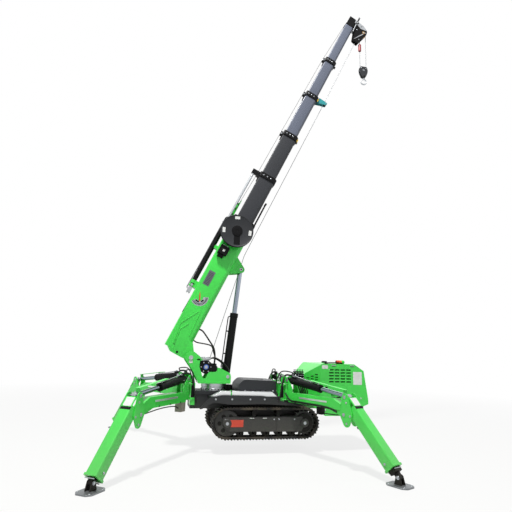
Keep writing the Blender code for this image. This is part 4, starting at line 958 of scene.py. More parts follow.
# The sections' middle, a collar's rim and length, a section's length and its plate.
BZ, RIM, NECK, SPAN, SKIN = 0.235, 0.014, 0.08, 2.12, 0.006
# Each section's depth, its width and where it ends.
SECTIONS = [(0.335, 0.260, 2.16), (0.265, 0.214, 3.00), (0.239, 0.190, 3.85),
            (0.210, 0.167, 4.71), (0.182, 0.144, 5.50), (0.154, 0.121, 6.33)]
# The luffing cylinder's lug, the reel's axis and the axis of the telescoping cylinder.
LUG_X, LUG_Z = 1.46, -0.06
REEL_X, REEL_Z = 1.90, 0.276
TELE_Y, TELE_Z = -0.05, 0.475


def across(index, grow=0.0):
    """A section's outline: square above, and rounded by 0.28 of its width below."""
    depth, width, _ = SECTIONS[index]
    c, w = 0.28 * width + grow, width / 2 + grow
    low, high = BZ - depth / 2 - grow, BZ + depth / 2 + grow
    r = max(0.002, 0.012 + grow)
    return (arc(w - r, high - r, r, 0, pi / 2, 4) + arc(r - w, high - r, r, pi / 2, pi, 4)
            + arc(c - w, low + c, c, pi, 1.5 * pi, 9)
            + arc(w - c, low + c, c, 1.5 * pi, 2 * pi, 9))


def collar(piece, index, dark, bright):
    """The black mouth of a section, with its bolts and adjusting pads."""
    depth, width, end = SECTIONS[index]
    w, high = width / 2 + RIM, BZ + depth / 2 + RIM
    low = BZ - depth / 2 - RIM
    piece.prism(across(index, RIM), end - NECK, end, 'X', dark, hole=across(index + 1, 0.0025))
    for s in (-1, 1):
        for k in (-1, 0, 1):
            piece.bolt((end - NECK / 2, s * w, BZ + 0.02 + k * depth * 0.24), (0, s, 0),
                       0.008, 0.007, bright)
        piece.bolt((end - NECK / 2, s * width * 0.28, high), (0, 0, 1), 0.008, 0.008, bright)
    piece.box(end - NECK * 1.3, end - NECK, -w * 0.9, w * 0.9, high - RIM - 0.002,
              high - 0.004, dark)
    return w, low, high


root = Piece("boom_root_section", "boom", [GREEN, BLACK, STEEL, PLATE, WHITE, RED, GREEN_PAINTED_LIT],
             boom, stands=("boom_base",), bevel=0.002)
half, belly, top = 0.13, BZ - 0.1675, BZ + 0.1675
root.prism(across(0), 0.0, SECTIONS[0][2] - NECK, 'X', hole=across(0, -SKIN))
root.prism(across(0, -0.004), 0.0, 0.10, 'X')
collar(root, 0, 1, 2)
root.prism(round_off([(-0.057, 0.09), (0.05, 0.09), (0.05, 0.395), (0.027, 0.395),
                      (-0.051, 0.296)], [0.01, 0.001, 0.001, 0.01, 0.02]), -0.1285, 0.1285)
root_lug = around((0, 0, 0.052), (-0.052, 0.10), (0.195, belly + 0.004), (-0.04, 0.16),
                  (0.195, 0.16), count=48)
head_lug = around((LUG_X, LUG_Z, 0.052), (1.316, belly + 0.004), (1.598, belly + 0.004),
                  count=48)
for s in (-1, 1):
    root.prism(root_lug, *pair(s, 0.105, 0.129))
    y0, y1 = pair(s, 0.12, 0.1615)
    root.rod((0, y0, 0), (0, y1, 0), 0.045, 0, 40)
    root.prism(head_lug, *pair(s, 0.067, 0.081))
    root.rod((LUG_X, s * 0.0465, LUG_Z), (LUG_X, s * 0.086, LUG_Z), 0.022, 2)
    root.bolt((LUG_X, s * 0.081, LUG_Z), (0, s, 0), 0.012, 0.008)
    for x, z in ((-0.019, 0.205), (0.056, 0.290)):
        root.bolt((x, s * half, z), (0, s, 0), 0.011 if z < 0.25 else 0.005, 0.008)
    for line in (((0.62, 0.205), (0.355, 0.352)), ((0.355, 0.352), (0.074, 0.309)),
                 ((0.595, 0.176), (0.245, 0.160)), ((0.394, 0.252), (0.281, 0.318)),
                 ((0.281, 0.318), (0.093, 0.296)), ((0.074, 0.309), (0.093, 0.296))):
        (a, b), (c, d) = line
        root.rod((a, s * (half + 0.001), b), (c, s * (half + 0.001), d), 0.0060, 0, 10)
clamp = [(0, 0.0356), (0, 0.043), (0.05, 0.043), (0.05, 0.0356)]
for x in (0.94, 1.55, 2.00):
    root.box(x, x + 0.05, -0.095, -0.005, top - 0.003, 0.455)
    turned(root, (x, TELE_Y, TELE_Z), (1, 0, 0), clamp, 1 if x > 1 else 0, 40)
root.rod((REEL_X, -0.12, REEL_Z), (REEL_X, -0.2045, REEL_Z), 0.05)
root.rod((REEL_X, -0.12, REEL_Z), (REEL_X, -0.275, REEL_Z), 0.018, 2)
root.box(1.50, 1.63, -0.205, -0.129, 0.24, 0.38, 1)
root.prism(panel(1.54, 1.575, 0.29, 0.325, 0.004), -0.2062, -0.203, m=4)
root.box(1.45, 1.50, -0.18, -0.131, 0.27, 0.36, 1)
for z in (0.28, 0.31, 0.34):
    root.rod((1.63, -0.17, z), (1.648, -0.17, z), 0.009, 2, 6)
root.prism(panel(2.10, 2.46, 0.0, 0.07, [0.002, 0.03, 0.03, 0.002]), 0.4215, 0.4315, 'Z')
root.box(2.10, 2.15, 0.0, 0.07, top - 0.002, 0.430)
root.prism(round_off([(2.14, 0.430), (2.42, 0.430), (2.38, 0.468), (2.18, 0.468)], 0.01),
           0.028, 0.034)
for x in (2.19, 2.29, 2.38):
    root.rod((x, 0.018, 0.4475), (x, 0.044, 0.4475), 0.010, 1, 20)
root.box(0.885, 0.955, -0.105, 0.005, top - 0.002, 0.44)
root.prism(panel(0.992, 1.222, 0.252, 0.350, 0.004), -0.1318, -0.129, m=3)
for x in (1.002, 1.212):
    for z in (0.260, 0.342):
        root.rod((x, -0.1315, z), (x, -0.1332, z), 0.0035, 2, 10)
for k in range(9):
    root.box(1.015 + 0.021 * k, 1.020 + 0.021 * k, -0.1323, -0.131, 0.268, 0.335, 1)
# The dial's middle, and the angle that its scale starts at and the one it sweeps, in degrees.
dial = (0.80, 0.290)
DIAL_FROM, DIAL_SWEEP, TICKS = 142, 154, 15


def sector(r0, r1, a0, a1, n=16):
    """A piece of the dial between two radii and two angles."""
    return (arc(*dial, r1, a0, a1, n) + arc(*dial, r0, a1, a0, n))


scale = sector(0.052, 0.128, radians(DIAL_FROM), radians(DIAL_FROM + DIAL_SWEEP), 40)
root.prism(scale, -0.1316, -0.129, m=2)
for k in range(TICKS):
    a = DIAL_FROM + DIAL_SWEEP * (k + 0.15) / TICKS
    tick = sector(0.085, 0.118, radians(a), radians(a + DIAL_SWEEP * 0.55 / TICKS), 3)
    root.prism(tick, -0.1325, -0.131, m=1)
for a0, a1 in ((150, 200), (222, 262)):
    root.prism(sector(0.056, 0.078, radians(a0), radians(a1), 10), -0.1325, -0.131, m=1)
up = Vector((sin(LUFF), 0, cos(LUFF)))
aside = Vector((cos(LUFF), 0, -sin(LUFF)))
needle = [Vector((dial[0], 0, dial[1])) + up * a + aside * b
          for a, b in ((0.088, 0), (0.03, 0.007), (-0.06, 0.009), (-0.06, -0.009),
                       (0.03, -0.007))]
root.prism([(p.x, p.z) for p in needle], -0.1365, -0.1345, m=5)
root.rod((dial[0], -0.129, dial[1]), (dial[0], -0.138, dial[1]), 0.008, 5)
root.rod((dial[0] + 0.06, -0.12, top - 0.01), (dial[0] - 0.30, -0.12, top + 0.004), 0.005, 1)
root.box(2.12, 2.60, -0.030, 0.030, 0.056, 0.078, 1)
for x in (2.16, 2.58):
    root.rod((x, -0.036, 0.066), (x, 0.036, 0.066), 0.015, 1)
root.box(2.08, 2.15, -0.028, 0.028, 0.055, 0.075, 1)
root.done()

# Telescoping cylinder: a black enamelled tube along the boom's back, held by clamps on the
# root section, with a bright feed pipe and an aluminium valve block at its foot.
tele = Piece("telescope_cylinder", "boom", [BLACK, STEEL, ALLOY, GREEN_PAINTED_LIT], boom,
             stands=("tele_barrel",), bevel=0.002)
barrel = [(0, 0.010), (0, 0.033), (0.002, 0.035), (1.11, 0.035), (1.112, 0.0352),
          (1.15, 0.0352), (1.15, 0.0186), (0.03, 0.0186), (0.03, 0.010)]
turned(tele, (0.93, TELE_Y, TELE_Z), (1, 0, 0), barrel, 0, 40)
# This bracket is in the lighter green, painted lighter for the light on it.
tele.box(0.885, 0.935, -0.08, -0.02, top + 0.0053, 0.512, 3)
tele.rod((0.91, -0.092, TELE_Z), (0.91, -0.008, TELE_Z), 0.018, 1)
tele.box(0.80, 0.884, -0.078, -0.022, 0.443, 0.500, 2)
for z in (0.455, 0.488):
    tele.rod((0.80, TELE_Y, z), (0.782, TELE_Y, z), 0.009, 1, 6)
route = [(0.84, 0.500), (0.86, 0.522), (0.93, 0.522), (1.2, 0.517), (1.9, 0.517),
         (1.98, 0.523), (2.03, 0.514)]
piped(tele, [(x, TELE_Y, z) for x, z in route], 0.0065, 1, smooth=6)
tele.box(2.01, 2.06, -0.066, -0.034, 0.505, 0.520, 0)
tele.done()

# Cable reel: two spun discs of black enamelled sheet on a hub, with the cable wound between
# them and three blank white plates near the rim.
reel = Piece("cable_reel_disc", "reel_body", [BLACK, STEEL, WHITE, HOSE, DARK], boom,
             stands=("cable_reel",), bevel=0.0015)
near_disc = [(0, 0.0195), (0, 0.060), (0.003, 0.225), (-0.003, 0.236), (-0.001, 0.245),
             (0.010, 0.245), (0.010, 0.0195)]
far_disc = [(0, 0.0195), (0, 0.245), (0.010, 0.245), (0.010, 0.0195)]
coils = [(0.001 + 0.0052 * k + (0.0026 if j else 0.0), 0.200 if j else 0.194)
         for k in range(6) for j in (0, 1)]
cap = [(0, 0.0195), (0, 0.060), (0.002, 0.078), (0.012, 0.080), (0.012, 0.0195)]
turned(reel, (REEL_X, -0.268, REEL_Z), (0, 1, 0), near_disc, 4, 72)
turned(reel, (REEL_X, -0.226, REEL_Z), (0, 1, 0), far_disc, 0, 72)
turned(reel, (REEL_X, -0.258, REEL_Z), (0, 1, 0), [(0, 0.02)] + coils + [(0.032, 0.02)], 3, 56)
reel.rod((REEL_X, -0.276, REEL_Z), (REEL_X, -0.205, REEL_Z), 0.0497, 0)
turned(reel, (REEL_X, -0.278, REEL_Z), (0, 1, 0), cap, 0, 48)
upright = pi / 2 - LUFF
centre = np.array((REEL_X, REEL_Z))
for a in (upright, upright + pi / 2, upright - pi / 2 - 0.12):
    outward = np.array([cos(a), sin(a)])
    onward = np.array([-sin(a), cos(a)])
    quad = [centre + outward * (0.196 + 0.021 * i) + onward * 0.038 * j
            for i, j in ((-1, -1), (1, -1), (1, 1), (-1, 1))]
    reel.prism(quad, -0.2685, -0.2655, m=2)
outward = np.array([-cos(upright), -sin(upright)])
onward = np.array([-sin(upright), cos(upright)])
quad = [centre + outward * i + onward * 0.045 * j
        for i, j in ((0.06, -1), (0.205, -1), (0.205, 1), (0.06, 1))]
reel.prism(quad, -0.2690, -0.2655, m=0)
reel.done()

# Telescoping sections: five boxes folded from thinner plate, each sliding in the one before
# on plastic pads, sprayed in anthracite enamel that is more greyed toward the tip. Each ends
# in a black collar, and the fourth carries the rope's guide in teal.

# Anthracite enamel on the inner sections.
BOOM = enamel("anthracite_boom_enamel", "2c2e33", 0.42, coat=0.0, soil=0.0, shine=0.35)
# The outer sections' enamel, weathered to a bluish grey.
BOOM2 = enamel("weathered_boom_enamel", "565c6c", 0.38, coat=0.1, soil=0.0)
# Yellow and teal enamel on stops and on the rope's guide.
YELLOW = enamel("yellow_enamel", "e3bd22", 0.42, soil=0.0)
TEAL = enamel("teal_enamel", "1b8b90", 0.42, soil=0.0)
# The rope's guide pulley on the fourth section.
GUIDE_X, GUIDE_Z = 4.721, -0.032
for index in range(1, 6):
    depth, width, end = SECTIONS[index]
    start = end - SPAN
    n = index + 1
    far = index >= 3
    part = Piece("boom_stage_%d" % n, "section_%d" % n,
                 [BOOM2 if far else BOOM, BLACK, STEEL, YELLOW, TEAL, GREEN], boom,
                 stands=("boom_section_%d" % n,), bevel=0.0015)
    last = index == 5
    part.prism(across(index), start, end - (0 if last else NECK), 'X',
               hole=across(index, -SKIN))
    part.prism(across(index - 1, -0.0085), start + 0.001, start + 0.048, 'X', 1,
               hole=across(index, 0.0002))
    if not last:
        w, low, high = collar(part, index, 1, 2)
        part.box(end - NECK, end - 0.005, -0.022, 0.022, high - 0.003, high + 0.030, 1)
        for s in (-1, 1):
            part.rod((end - 0.045, s * 0.020, high + 0.018),
                     (end - 0.045, s * 0.027, high + 0.018), 0.014, 2, 20)
        if index > 1:
            part.rod((end - 0.045, 0.012, low + 0.004), (end - 0.045, 0.012, low - 0.022),
                     0.020, 1)
        if 1 < index < 4:
            part.box(end - 0.065, end - 0.025, -w * 0.72, -w * 0.45, low - 0.010, low + 0.012,
                     3)
    if index == 1:
        z = BZ + depth / 2
        part.box(end - NECK, end - 0.01, -0.08, -0.02, z - 0.002, 0.505, 1)
        part.rod((end - 0.01, TELE_Y, TELE_Z), (end - 0.002, TELE_Y, TELE_Z), 0.016, 2, 6)
        part.rod((1.66, TELE_Y, TELE_Z), (2.95, TELE_Y, TELE_Z), 0.018, 2, 32)
    if index == 3:
        outline = round_off([(4.64, 0.118), (4.70, 0.118), (4.755, 0.105), (4.752, 0.02),
                             (4.745, -0.055), (4.70, -0.055), (4.675, 0.03)], 0.012)
        for y in (-0.020, 0.048):
            part.prism(outline, y, y + 0.006, m=4)
        part.box(4.64, 4.70, -0.020, 0.054, 0.112, 0.120, 4)
        roller = [(0, 0.006), (0, 0.026), (0.018, 0.019), (0.034, 0.019), (0.052, 0.026),
                  (0.052, 0.006)]
        turned(part, (GUIDE_X, -0.012, GUIDE_Z), (0, 1, 0), roller, 1, 32)
        part.rod((GUIDE_X, -0.026, GUIDE_Z), (GUIDE_X, 0.060, GUIDE_Z), 0.007, 2)
    part.done()

# Boom head: two black cheeks of flame-cut plate round the sheave's pin, bolted to the last
# section's end, with a nose plate of aluminium, a sensor box, a bright rod and a short mast.

# The sheave's pin on the boom, the last section's end and the face that the head seats on.
PIN_X, PIN_Z = 6.374, -0.039
tip = SECTIONS[-1][2]
seat = tip + 0.0003
head = Piece("boom_head_frame", "section_6", [ALLOY, BLACK, STEEL, BRASS], boom,
             stands=("boom_head",), bevel=0.0015)
cheek = round_off([(6.12, -0.036), (6.234, -0.066), (6.374, -0.105), (6.45, -0.09),
                   (6.50, 0.0), (6.53, 0.177), (6.531, 0.309), (seat, 0.309),
                   (seat, 0.145), (6.30, 0.12), (6.142, 0.075)],
                  [0.01, 0.01, 0.03, 0.03, 0.02, 0.02, 0.01, 0.01, 0.002, 0.01, 0.01])
for y in (-0.042, 0.030):
    head.prism(cheek, y, y + 0.012, m=1)
head.prism([(seat, 0.17), (6.525, 0.19), (6.531, 0.309), (seat, 0.309)],
           -0.05, 0.05, m=1)
head.box(6.15, 6.24, -0.035, 0.035, 0.02, 0.07, 1)
head.rod((PIN_X, -0.046, PIN_Z), (PIN_X, 0.068, PIN_Z), 0.010, 2)
nose = [(6.445, -0.080), (6.498, 0.0), (6.526, 0.177), (6.528, 0.262), (6.475, 0.250),
        (6.452, 0.120), (6.418, 0.040)]
head.prism(round_off(nose, 0.012), -0.0455, -0.0415, m=0)
for x, z, r in ((6.490, 0.205, 0.017), (6.484, 0.125, 0.017), (6.466, 0.045, 0.012)):
    head.rod((x, -0.044, z), (x, -0.0465, z), r, 1, 28)
head.prism([(6.150, 0.060), (6.185, 0.052), (6.400, -0.062), (6.395, -0.080)], -0.047, -0.041,
           m=0)
head.rod((PIN_X, -0.040, PIN_Z), (PIN_X, -0.050, PIN_Z), 0.026, 3, 40)
head.bolt((PIN_X, -0.049, PIN_Z), (0, -1, 0), 0.011, 0.007, 2)
head.box(seat, tip + 0.02, -0.068, 0.068, 0.150, 0.318, 1)
for x, z in ((6.20, -0.02), (6.46, 0.05), (6.47, 0.13), (6.36, 0.09)):
    head.bolt((x, -0.042, z), (0, -1, 0), 0.008, 0.006, 2)
for s in (-1, 1):
    head.bolt((tip + 0.012, s * 0.058, 0.17), (1, 0, 0), 0.006, 0.006, 2)
head.box(6.34, 6.39, -0.046, 0.046, 0.308, 0.316, 2)
head.rod((6.20, -0.062, 0.146), (6.50, -0.062, 0.146), 0.007, 2, 20)
for x in (6.24, 6.44):
    head.box(x - 0.012, x + 0.012, -0.070, -0.041, 0.132, 0.160, 1)
mast = round_off([(6.42, 0.132), (6.60, 0.134), (6.60, 0.160), (6.42, 0.160)], 0.006)
head.prism(mast, -0.060, -0.050, m=1)
head.rod((6.584, -0.0595, 0.147), (6.584, -0.0615, 0.147), 0.007, 0, 24)
head.done()

# Head sheave: a bronze wheel turned with a rope groove, which runs on plain bearings on the
# pin of the boom's head.

# The pin's place in the machine, and how far each fall hangs from it.
wheel = at(*(boom @ Vector((PIN_X, 0, PIN_Z))))
HX, HZ = wheel.translation.x, wheel.translation.z
FALL = 0.0575
groove = [(0, 0.0106), (0, 0.066), (0.016, 0.066), (0.022, 0.0525), (0.034, 0.0525),
          (0.040, 0.066), (0.056, 0.066), (0.056, 0.0106)]
sheave = Piece("head_pulley", "head_wheel", [BRASS, STEEL], wheel, stands=("head_sheave",),
               bevel=0.001)
turned(sheave, (0, -0.028, 0), (0, 1, 0), groove, 0, 56)
sheave.done()

# Limit weight: a red enamelled sleeve that hangs on a wire round the rope and trips the
# hoist's switch when the block lifts it.

# The middle of the sleeve, measured up from the pin.
sleeve_z = 6.682 - HZ
# Dark red enamel: deep, with a clear gloss.
MAROON = enamel("dark_red_enamel", "8e1c26", 0.38, soil=0.0)
limit = Piece("limit_weight_red", "hook_hanger", [MAROON, STEEL, ROPE], wheel,
              stands=("limit_weight",), bevel=0.0015)
sleeve = [(0, 0.0112), (0, 0.021), (0.006, 0.026), (0.126, 0.026), (0.132, 0.021),
          (0.132, 0.0112)]
turned(limit, (-FALL, 0, sleeve_z - 0.066), (0, 0, 1), sleeve, 0, 40)
eyelet = [(0, 0.0107), (0, 0.019), (0.012, 0.019), (0.012, 0.0107)]
turned(limit, (0, 0.0475, 0), (0, 1, 0), eyelet, 1, 32)
piped(limit, [(-0.008, 0.0535, -0.012), (-0.045, 0.0535, sleeve_z + 0.080),
              (-FALL, 0.021, sleeve_z + 0.050)], 0.0033, 1)
over_wheel = [radians(a) for a in range(176, -1, -8)]
piped(limit, [(FALL * cos(a), 0, FALL * sin(a)) for a in over_wheel], ROPE_R, 2, 10)
limit.done()

# Rope falls: two parts of steel wire rope between the head and the hook block. They hang taut.

# How far the block hangs below the head's pin.
DROP = 0.73
block = at(HX, 0, HZ - DROP)
ropes = [("rope_fall_live", FALL), ("rope_fall_dead", -FALL)]
for k, (name, x) in enumerate(ropes):
    rope = Piece(name, None, [ROPE], bevel=0)
    piped(rope, [(HX + x, 0, HZ - DROP * t / 20) for t in range(21)], ROPE_R, 0, 12)
    made = rope.done()
    if k == 0:
        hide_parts("hoist_rope")
    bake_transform(made)
under = Piece("rope_round_block", "block", [ROPE], block, bevel=0)
under_wheel = [-pi + pi * i / 24 for i in range(25)]
piped(under, [(FALL * cos(a), 0, FALL * sin(a)) for a in under_wheel], ROPE_R, 0, 12)
under.done()

# Hook block: two cheeks of flame-cut plate bolted round a steel pulley, with a forged
# crosshead that the hook's shank turns in.
cheeks = Piece("hook_block_body", "block", [DARK, STEEL, BLACK, YELLOW], block,
               stands=("hook_block",), bevel=0.002)
outline = round_off([(-0.062, 0.070), (0.062, 0.070), (0.079, 0.0), (0.070, -0.055),
                     (0.034, -0.138), (-0.034, -0.138), (-0.070, -0.055), (-0.079, 0.0)],
                    [0.028, 0.028, 0.03, 0.03, 0.02, 0.02, 0.03, 0.03])
for s in (-1, 1):
    cheeks.prism(outline, *pair(s, 0.0165, 0.026))
    cheeks.bolt((0, s * 0.0255, 0), (0, s, 0), 0.014, 0.0085)
    for x, z in ((-0.045, 0.035), (0.045, 0.035), (0, -0.105)):
        cheeks.bolt((x, s * 0.0255, z), (0, s, 0), 0.006, 0.005)
crosshead = [(0, 0.0107), (0, 0.030), (0.006, 0.034), (0.034, 0.034), (0.040, 0.028),
             (0.056, 0.0199), (0.056, 0.0107)]
turned(cheeks, (0, 0, -0.141), (0, 0, 1), crosshead, 2, 36)
cheeks.rod((0, -0.034, 0), (0, 0.034, 0), 0.010, 1)
cheeks.done()
pulley = Piece("block_pulley", "block_wheel", [STEEL], block, stands=("block_sheave",),
              bevel=0.001)
groove = [(0, 0.0106), (0, 0.062), (0.004, 0.062), (0.010, 0.0525), (0.020, 0.0525),
          (0.026, 0.062), (0.030, 0.062), (0.030, 0.0106)]
turned(pulley, (0, -0.015, 0), (0, 1, 0), groove, 0, 48)
pulley.done()

# Hook: a drop forging that thins toward its point, zinc plated, with a sprung latch. Its
# shank turns in the hook block's crosshead.
hook = Piece("lifting_hook", "hook_body", [STEEL, ALLOY], block, stands=("hook",),
             bevel=0)
t = np.linspace(0, 1, 25)
a = np.radians(90 - 272 * t)
bend = np.column_stack([0.051 * np.cos(a), 0 * a, -0.216 + 0.051 * np.sin(a)])
spine = np.vstack([[(0, 0, -0.112), (0, 0, -0.135), (0, 0, -0.152)], bend])
thin = 0.0118 * (1 - 0.55 * np.maximum(0, (t - 0.7) / 0.3) ** 2)
hook.run(spine, np.concatenate([[0.0100, 0.0100, 0.0112], thin]), 0, 20)
hook.rod((0, 0, -0.143), (0, 0, -0.150), 0.017, 1, 24)
piped(hook, [(-0.008, 0, -0.170), (-0.018, 0, -0.190), (-0.040, 0, -0.2125)], 0.003, 1)
hook.done()

# Luffing cylinder: a thick honed tube in black enamel with a chromed rod, hung by an eye at
# each end and fed by a pipe along its back. It raises the boom.
pin = boom @ Vector((LUG_X, 0, LUG_Z))
length = hypot(pin.x - LOW[0], pin.z - LOW[1])
lift = atan2(pin.z - LOW[1], pin.x - LOW[0])
line = at(LOW[0], 0, LOW[1], Matrix.Rotation(-lift, 4, 'Y'))
ram = Piece("luffing_cylinder_body", "luff_cylinder", [BLACK, STEEL], line,
            stands=("luff_barrel",), bevel=0.002)
barrel = [(0, 0.012), (0, 0.052), (0.004, 0.055), (0.788, 0.055), (0.794, 0.060),
          (0.846, 0.060), (0.85, 0.056), (0.85, 0.0356), (0.05, 0.0356), (0.05, 0.012)]
turned(ram, (0.05, 0, 0), (1, 0, 0), barrel, 0, 48)
foot_eye = [(0, 0.0249), (0, 0.045), (0.001, 0.046), (0.118, 0.046), (0.119, 0.045),
            (0.119, 0.0249)]
turned(ram, (0, -0.0595, 0), (0, 1, 0), foot_eye, 0, 40)
ram.rod((0.032, 0, 0), (0.07, 0, 0), 0.045)
ram.box(0.06, 0.15, -0.030, 0.030, 0.045, 0.072, 0)
for y in (-0.012, 0.014):
    ram.rod((0.105, y, 0.070), (0.105, y, 0.084), 0.011, 1, 6)
route = [(0.105, 0.080), (0.13, 0.089), (0.19, 0.086), (0.60, 0.086), (0.80, 0.084),
         (0.835, 0.080), (0.845, 0.058)]
piped(ram, [(x, -0.012, z) for x, z in route], 0.0075, 0, smooth=6)
for x in (0.30, 0.62):
    ram.box(x, x + 0.018, -0.024, 0.0, 0.050, 0.078, 0)
ram.done()
push = Piece("luffing_cylinder_rod", "luff_piston", [CHROME_PAINTED_DARK, STEEL], line,
             stands=("luff_rod",), bevel=0.0015)
# The chromed rod's colour is painted darker, a painted reflection of dark surroundings.
push.rod((0.76, 0, 0), (length - 0.02, 0, 0), 0.0348, 0, 48)
push.rod((length, -0.046, 0), (length, 0.046, 0), 0.045, 1, 40)
push.done()


def strand(name, a, b, r, mat):
    """A straight round line from a to b, between points on two bodies."""
    a, b = Vector(a), Vector(b)
    made = Piece(name, None, [mat], bevel=0)
    piped(made, [a.lerp(b, i / 16) for i in range(17)], r, 0, 10)
    made = made.done()
    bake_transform(made)


def on_boom(x, y, z):
    """The machine's place for the point x, y, z of the boom."""
    return boom @ Vector((x, y, z))


winch_spot = Vector((WX + WOUND_R, 0.122, WZ + 0.012))
guide = (GUIDE_X, 0.014, -0.0085)
path = [winch_spot, on_boom(1.72, 0.094, -0.020), on_boom(2.50, 0.075, -0.016),
        on_boom(3.35, 0.052, -0.014), on_boom(*guide), on_boom(5.40, 0.008, 0.0010),
        on_boom(tip, 0, 0.0165)]
pairs = [("upper", "boom"), ("boom", "section_2"), ("section_2", "section_3"),
         ("section_3", "section_4"), ("section_4", "section_5"), ("section_5", "section_6")]
for k, (first, second) in enumerate(pairs):
    strand("hoist_line_%d" % (k + 1), path[k], path[k + 1], 0.0040, ROPE)
tops = [(2.115, 0.4475)] + [(SECTIONS[i][2] - 0.045,
                             BZ + SECTIONS[i][0] / 2 + RIM + 0.033) for i in range(1, 5)]
tops.append((6.36, 0.3185))
for k in range(5):
    (x0, z0), (x1, z1) = tops[k], tops[k + 1]
    strand("sensor_cable_%d" % (k + 1), on_boom(x0, 0.031 if k == 0 else 0.0, z0),
           on_boom(x1, 0, z1), 0.0028, HOSE)
tail = Piece("sensor_cable_root", "boom", [HOSE, BLACK], boom, bevel=0)
piped(tail, [(0.84, -0.066, 0.512), (0.90, -0.066, 0.518), (1.30, -0.066, 0.518),
             (1.75, -0.075, 0.518), (1.98, -0.08, 0.512), (2.08, -0.03, 0.47),
             (2.115, 0.031, 0.4475)], 0.0028, 0, 10, smooth=6)
tail.done()

# Hoses: extruded rubber, run along the frame, to the boom's foot and to the arms, with some
# slack at each joint.
for k, (y, r) in enumerate(((-0.075, 0.011), (-0.045, 0.009))):
    hose = Piece("boom_foot_hose_%d" % (k + 1), None, [HOSE], bevel=0)
    start = on_boom(0.40 - 0.17 * k, y, belly + 0.005)
    route = [start, start + Vector((0.055, 0, -0.03)),
             (-0.60 + 0.02 * k, y, 1.46 - 0.06 * k), (-0.535, y, 1.36 - 0.05 * k),
             (-0.515, y, 1.25), (-0.518, y, 1.145)]
    piped(hose, route, r, 0, 12, smooth=8)
    made = hose.done()
    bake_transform(made)
for name, (post_x, side, _, _) in corners.items():
    out = -1 if post_x < 0 else 1
    outlet = Vector((post_x - out * 0.115, side * 0.15, 0.80))
    inlet = posts[name] @ Vector((0.085, 0, 1.030))
    for k in (0, 1):
        hose = Piece("%s_supply_hose_%d" % (name, k + 1), None, [HOSE], bevel=0)
        b = posts[name] @ Vector((0.085 + 0.03 * k, 0.012 - 0.024 * k, 1.028 - 0.004 * k))
        if k == 0:
            a = outlet
            route = [a, a + Vector((0, 0, 0.10)), a.lerp(inlet, 0.35) + Vector((0, 0, 0.18)),
                     b + Vector((0, 0, 0.035)), b]
        else:
            a = Vector((post_x - out * 0.135, side * 0.375, 0.655))
            route = [a, Vector((post_x - out * 0.105, side * 0.380, 0.78)),
                     Vector((post_x - out * 0.075, side * 0.372, 0.93)),
                     Vector((post_x - out * 0.030, side * 0.350, 1.02)), b]
        piped(hose, route, 0.008 + 0.004 * k, 0, 12, smooth=8)
        made = hose.done()
        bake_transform(made)
pipes = Piece("frame_hoses", "base", [HOSE, STEEL, BLACK], bevel=0)
for side in (-1, 1):
    for k in range(3):
        y = side * (0.205 + 0.022 * k)
        piped(pipes, [(-0.80, y, 0.72), (-0.84, y, 0.76), (-0.835, side * 0.17, 0.80)],
              0.008, 0, smooth=5)
        piped(pipes, [(0.345, y, 0.748), (0.42, y, 0.775), (0.52, y, 0.765),
                      (0.60, y, 0.79), (0.625 + 0.03 * k, side * 0.215, 0.85),
                      (0.62 + 0.035 * k, side * 0.215, 0.958)], 0.0085, 0, smooth=6)
for k in range(5):
    x = 0.62 + 0.026 * k
    piped(pipes, [(x, -0.256, 0.985), (x, -0.285, 0.975), (x + 0.01, -0.30, 0.92),
                  (x + 0.05, -0.295, 0.84), (x + 0.08, -0.27, 0.78), (x + 0.085, -0.22, 0.70)],
          0.0075, 0, smooth=6)
pipes.box(0.60, 0.74, -0.185, 0.185, DECK_Z, 0.790, 2)
pipes.done()

# Engine block: one dark enamelled casting inside the hood. It stays the CAD solid, with its
# edges eased.
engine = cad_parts["engine_block"]
engine.data.materials.clear()
engine.data.materials.append(DARK)
weld = engine.modifiers.new("weld", 'WELD')
weld.merge_threshold = 0.00001
eased = engine.modifiers.new("edge", 'BEVEL')
eased.width = 0.006
eased.segments = 2
eased.limit_method = 'ANGLE'

# Studio: a plain pale floor and a white room. The camera, and what glosses, see them white,
# while the light on the machine stays at a plain level.


def shown(tree):
    """1 for the rays of the camera, of gloss and of glass, and 0 for those of plain light."""
    rays = add(tree, "LightPath", {}, {})
    gloss = add(tree, "Math", {"operation": 'MAXIMUM'},
                {0: rays.outputs["Is Glossy Ray"], 1: rays.outputs["Is Transmission Ray"]})
    return add(tree, "Math", {"operation": 'MAXIMUM'},
               {0: rays.outputs["Is Camera Ray"], 1: gloss.outputs["Value"]}).outputs["Value"]


# Half the floor's side, and the distances between which its own glow grows to full.
FLOOR_HALF, NEAR, FAR = 60, 3.0, 12.0
floor_mesh = bpy.data.meshes.new("studio_floor")
square = FLOOR_HALF * np.array([(-1, -1), (1, -1), (1, 1), (-1, 1)])
floor_mesh.from_pydata(np.column_stack([square, [-0.001] * 4]).tolist(), [], [(0, 1, 2, 3)])
floor_paint = bpy.data.materials.new("matt_floor_paint")
floor_paint.use_nodes = True
tree = floor_paint.node_tree
tree.nodes["Principled BSDF"].inputs["Base Color"].default_value = linear("d9d9d7")
tree.nodes["Principled BSDF"].inputs["Roughness"].default_value = 0.95
tree.nodes["Principled BSDF"].inputs["Specular IOR Level"].default_value = 0.1
glow = add(tree, "Emission", {"Color": (1, 1, 1, 1), "Strength": 1.0}, {})
place = add(tree, "TexCoord", {}, {}).outputs["Object"]
away = add(tree, "VectorMath", {"operation": 'LENGTH'}, {0: place})
fade = add(tree, "MapRange", {"From Min": NEAR, "From Max": FAR, "To Min": 0.80},
           {"Value": away.outputs["Value"]})
share = add(tree, "Math", {"operation": 'MULTIPLY'},
            {0: shown(tree), 1: fade.outputs["Result"]})
both = add(tree, "MixShader", {}, {0: share.outputs["Value"],
                                   1: tree.nodes["Principled BSDF"].outputs["BSDF"],
                                   2: glow.outputs["Emission"]})
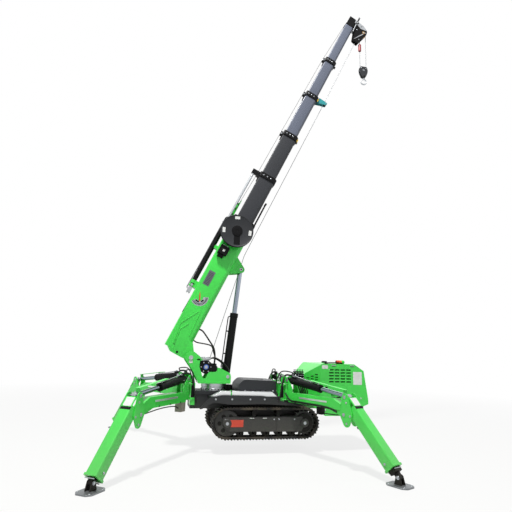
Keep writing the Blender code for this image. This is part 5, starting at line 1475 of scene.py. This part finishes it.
tree.links.new(both.outputs["Shader"], tree.nodes["Material Output"].inputs["Surface"])
floor_mesh.materials.append(floor_paint)
studio_floor = bpy.data.objects.new("studio_floor", floor_mesh)
bpy.context.scene.collection.objects.link(studio_floor)

ROOM_LIGHT = 0.24
world = bpy.data.worlds.new("studio")
bpy.context.scene.world = world
world.use_nodes = True
tree = world.node_tree
sky = tree.nodes["Background"]
sky.inputs["Color"].default_value = (0.95, 0.97, 1.0, 1)
sky.inputs["Strength"].default_value = ROOM_LIGHT
white = add(tree, "Background", {"Color": (1, 1, 1, 1), "Strength": 1.0}, {})
both = add(tree, "MixShader", {}, {0: shown(tree), 1: sky.outputs["Background"],
                                   2: white.outputs["Background"]})
tree.links.new(both.outputs["Shader"], tree.nodes["World Output"].inputs["Surface"])


def lamp(name, spot, target, size, power, colour=(1, 1, 1)):
    """A round soft lamp at spot that shines on target."""
    data = bpy.data.lights.new(name, 'AREA')
    data.shape, data.size, data.energy, data.color = 'DISK', size, power, colour
    ob = bpy.data.objects.new(name, data)
    bpy.context.scene.collection.objects.link(ob)
    ob.location = spot
    ob.rotation_euler = (Vector(target) - Vector(spot)).to_track_quat('-Z', 'Y').to_euler()


lamp("key_light", (-2.2, -3.7, 12.2), (0, 0, 1.8), 1.2, 1640, (1, 0.99, 0.96))
lamp("fill_light", (8.5, -6.0, 5.0), (0, 0, 2.0), 6.0, 90)
lamp("rim_light", (3.0, 8.5, 8.0), (0, 0, 2.5), 5.0, 240)

# The camera, as fitted to the photograph: its focal length is given in the photo's pixels.
FOCAL_PX, PHOTO_PX, SENSOR = 451.873, 512, 36
yaw, pitch, roll = radians(12.678), radians(11.477), radians(1.592)
ahead = Vector((sin(yaw) * cos(pitch), cos(yaw) * cos(pitch), sin(pitch)))
right = Vector((cos(yaw), -sin(yaw), 0))
upward = right.cross(ahead)
rolled_right = right * cos(roll) + upward * sin(roll)
rolled_up = upward * cos(roll) - right * sin(roll)
cam_data = bpy.data.cameras.new("camera")
cam_data.sensor_width = SENSOR
cam_data.lens = SENSOR * FOCAL_PX / PHOTO_PX
cam = bpy.data.objects.new("camera", cam_data)
bpy.context.scene.collection.objects.link(cam)
cam.matrix_world = Matrix.Translation((-1.428, -6.608, 1.386)) @ Matrix(
    (rolled_right, rolled_up, -ahead)).transposed().to_4x4()
bpy.context.scene.camera = cam
bpy.context.scene.view_settings.view_transform = 'Standard'
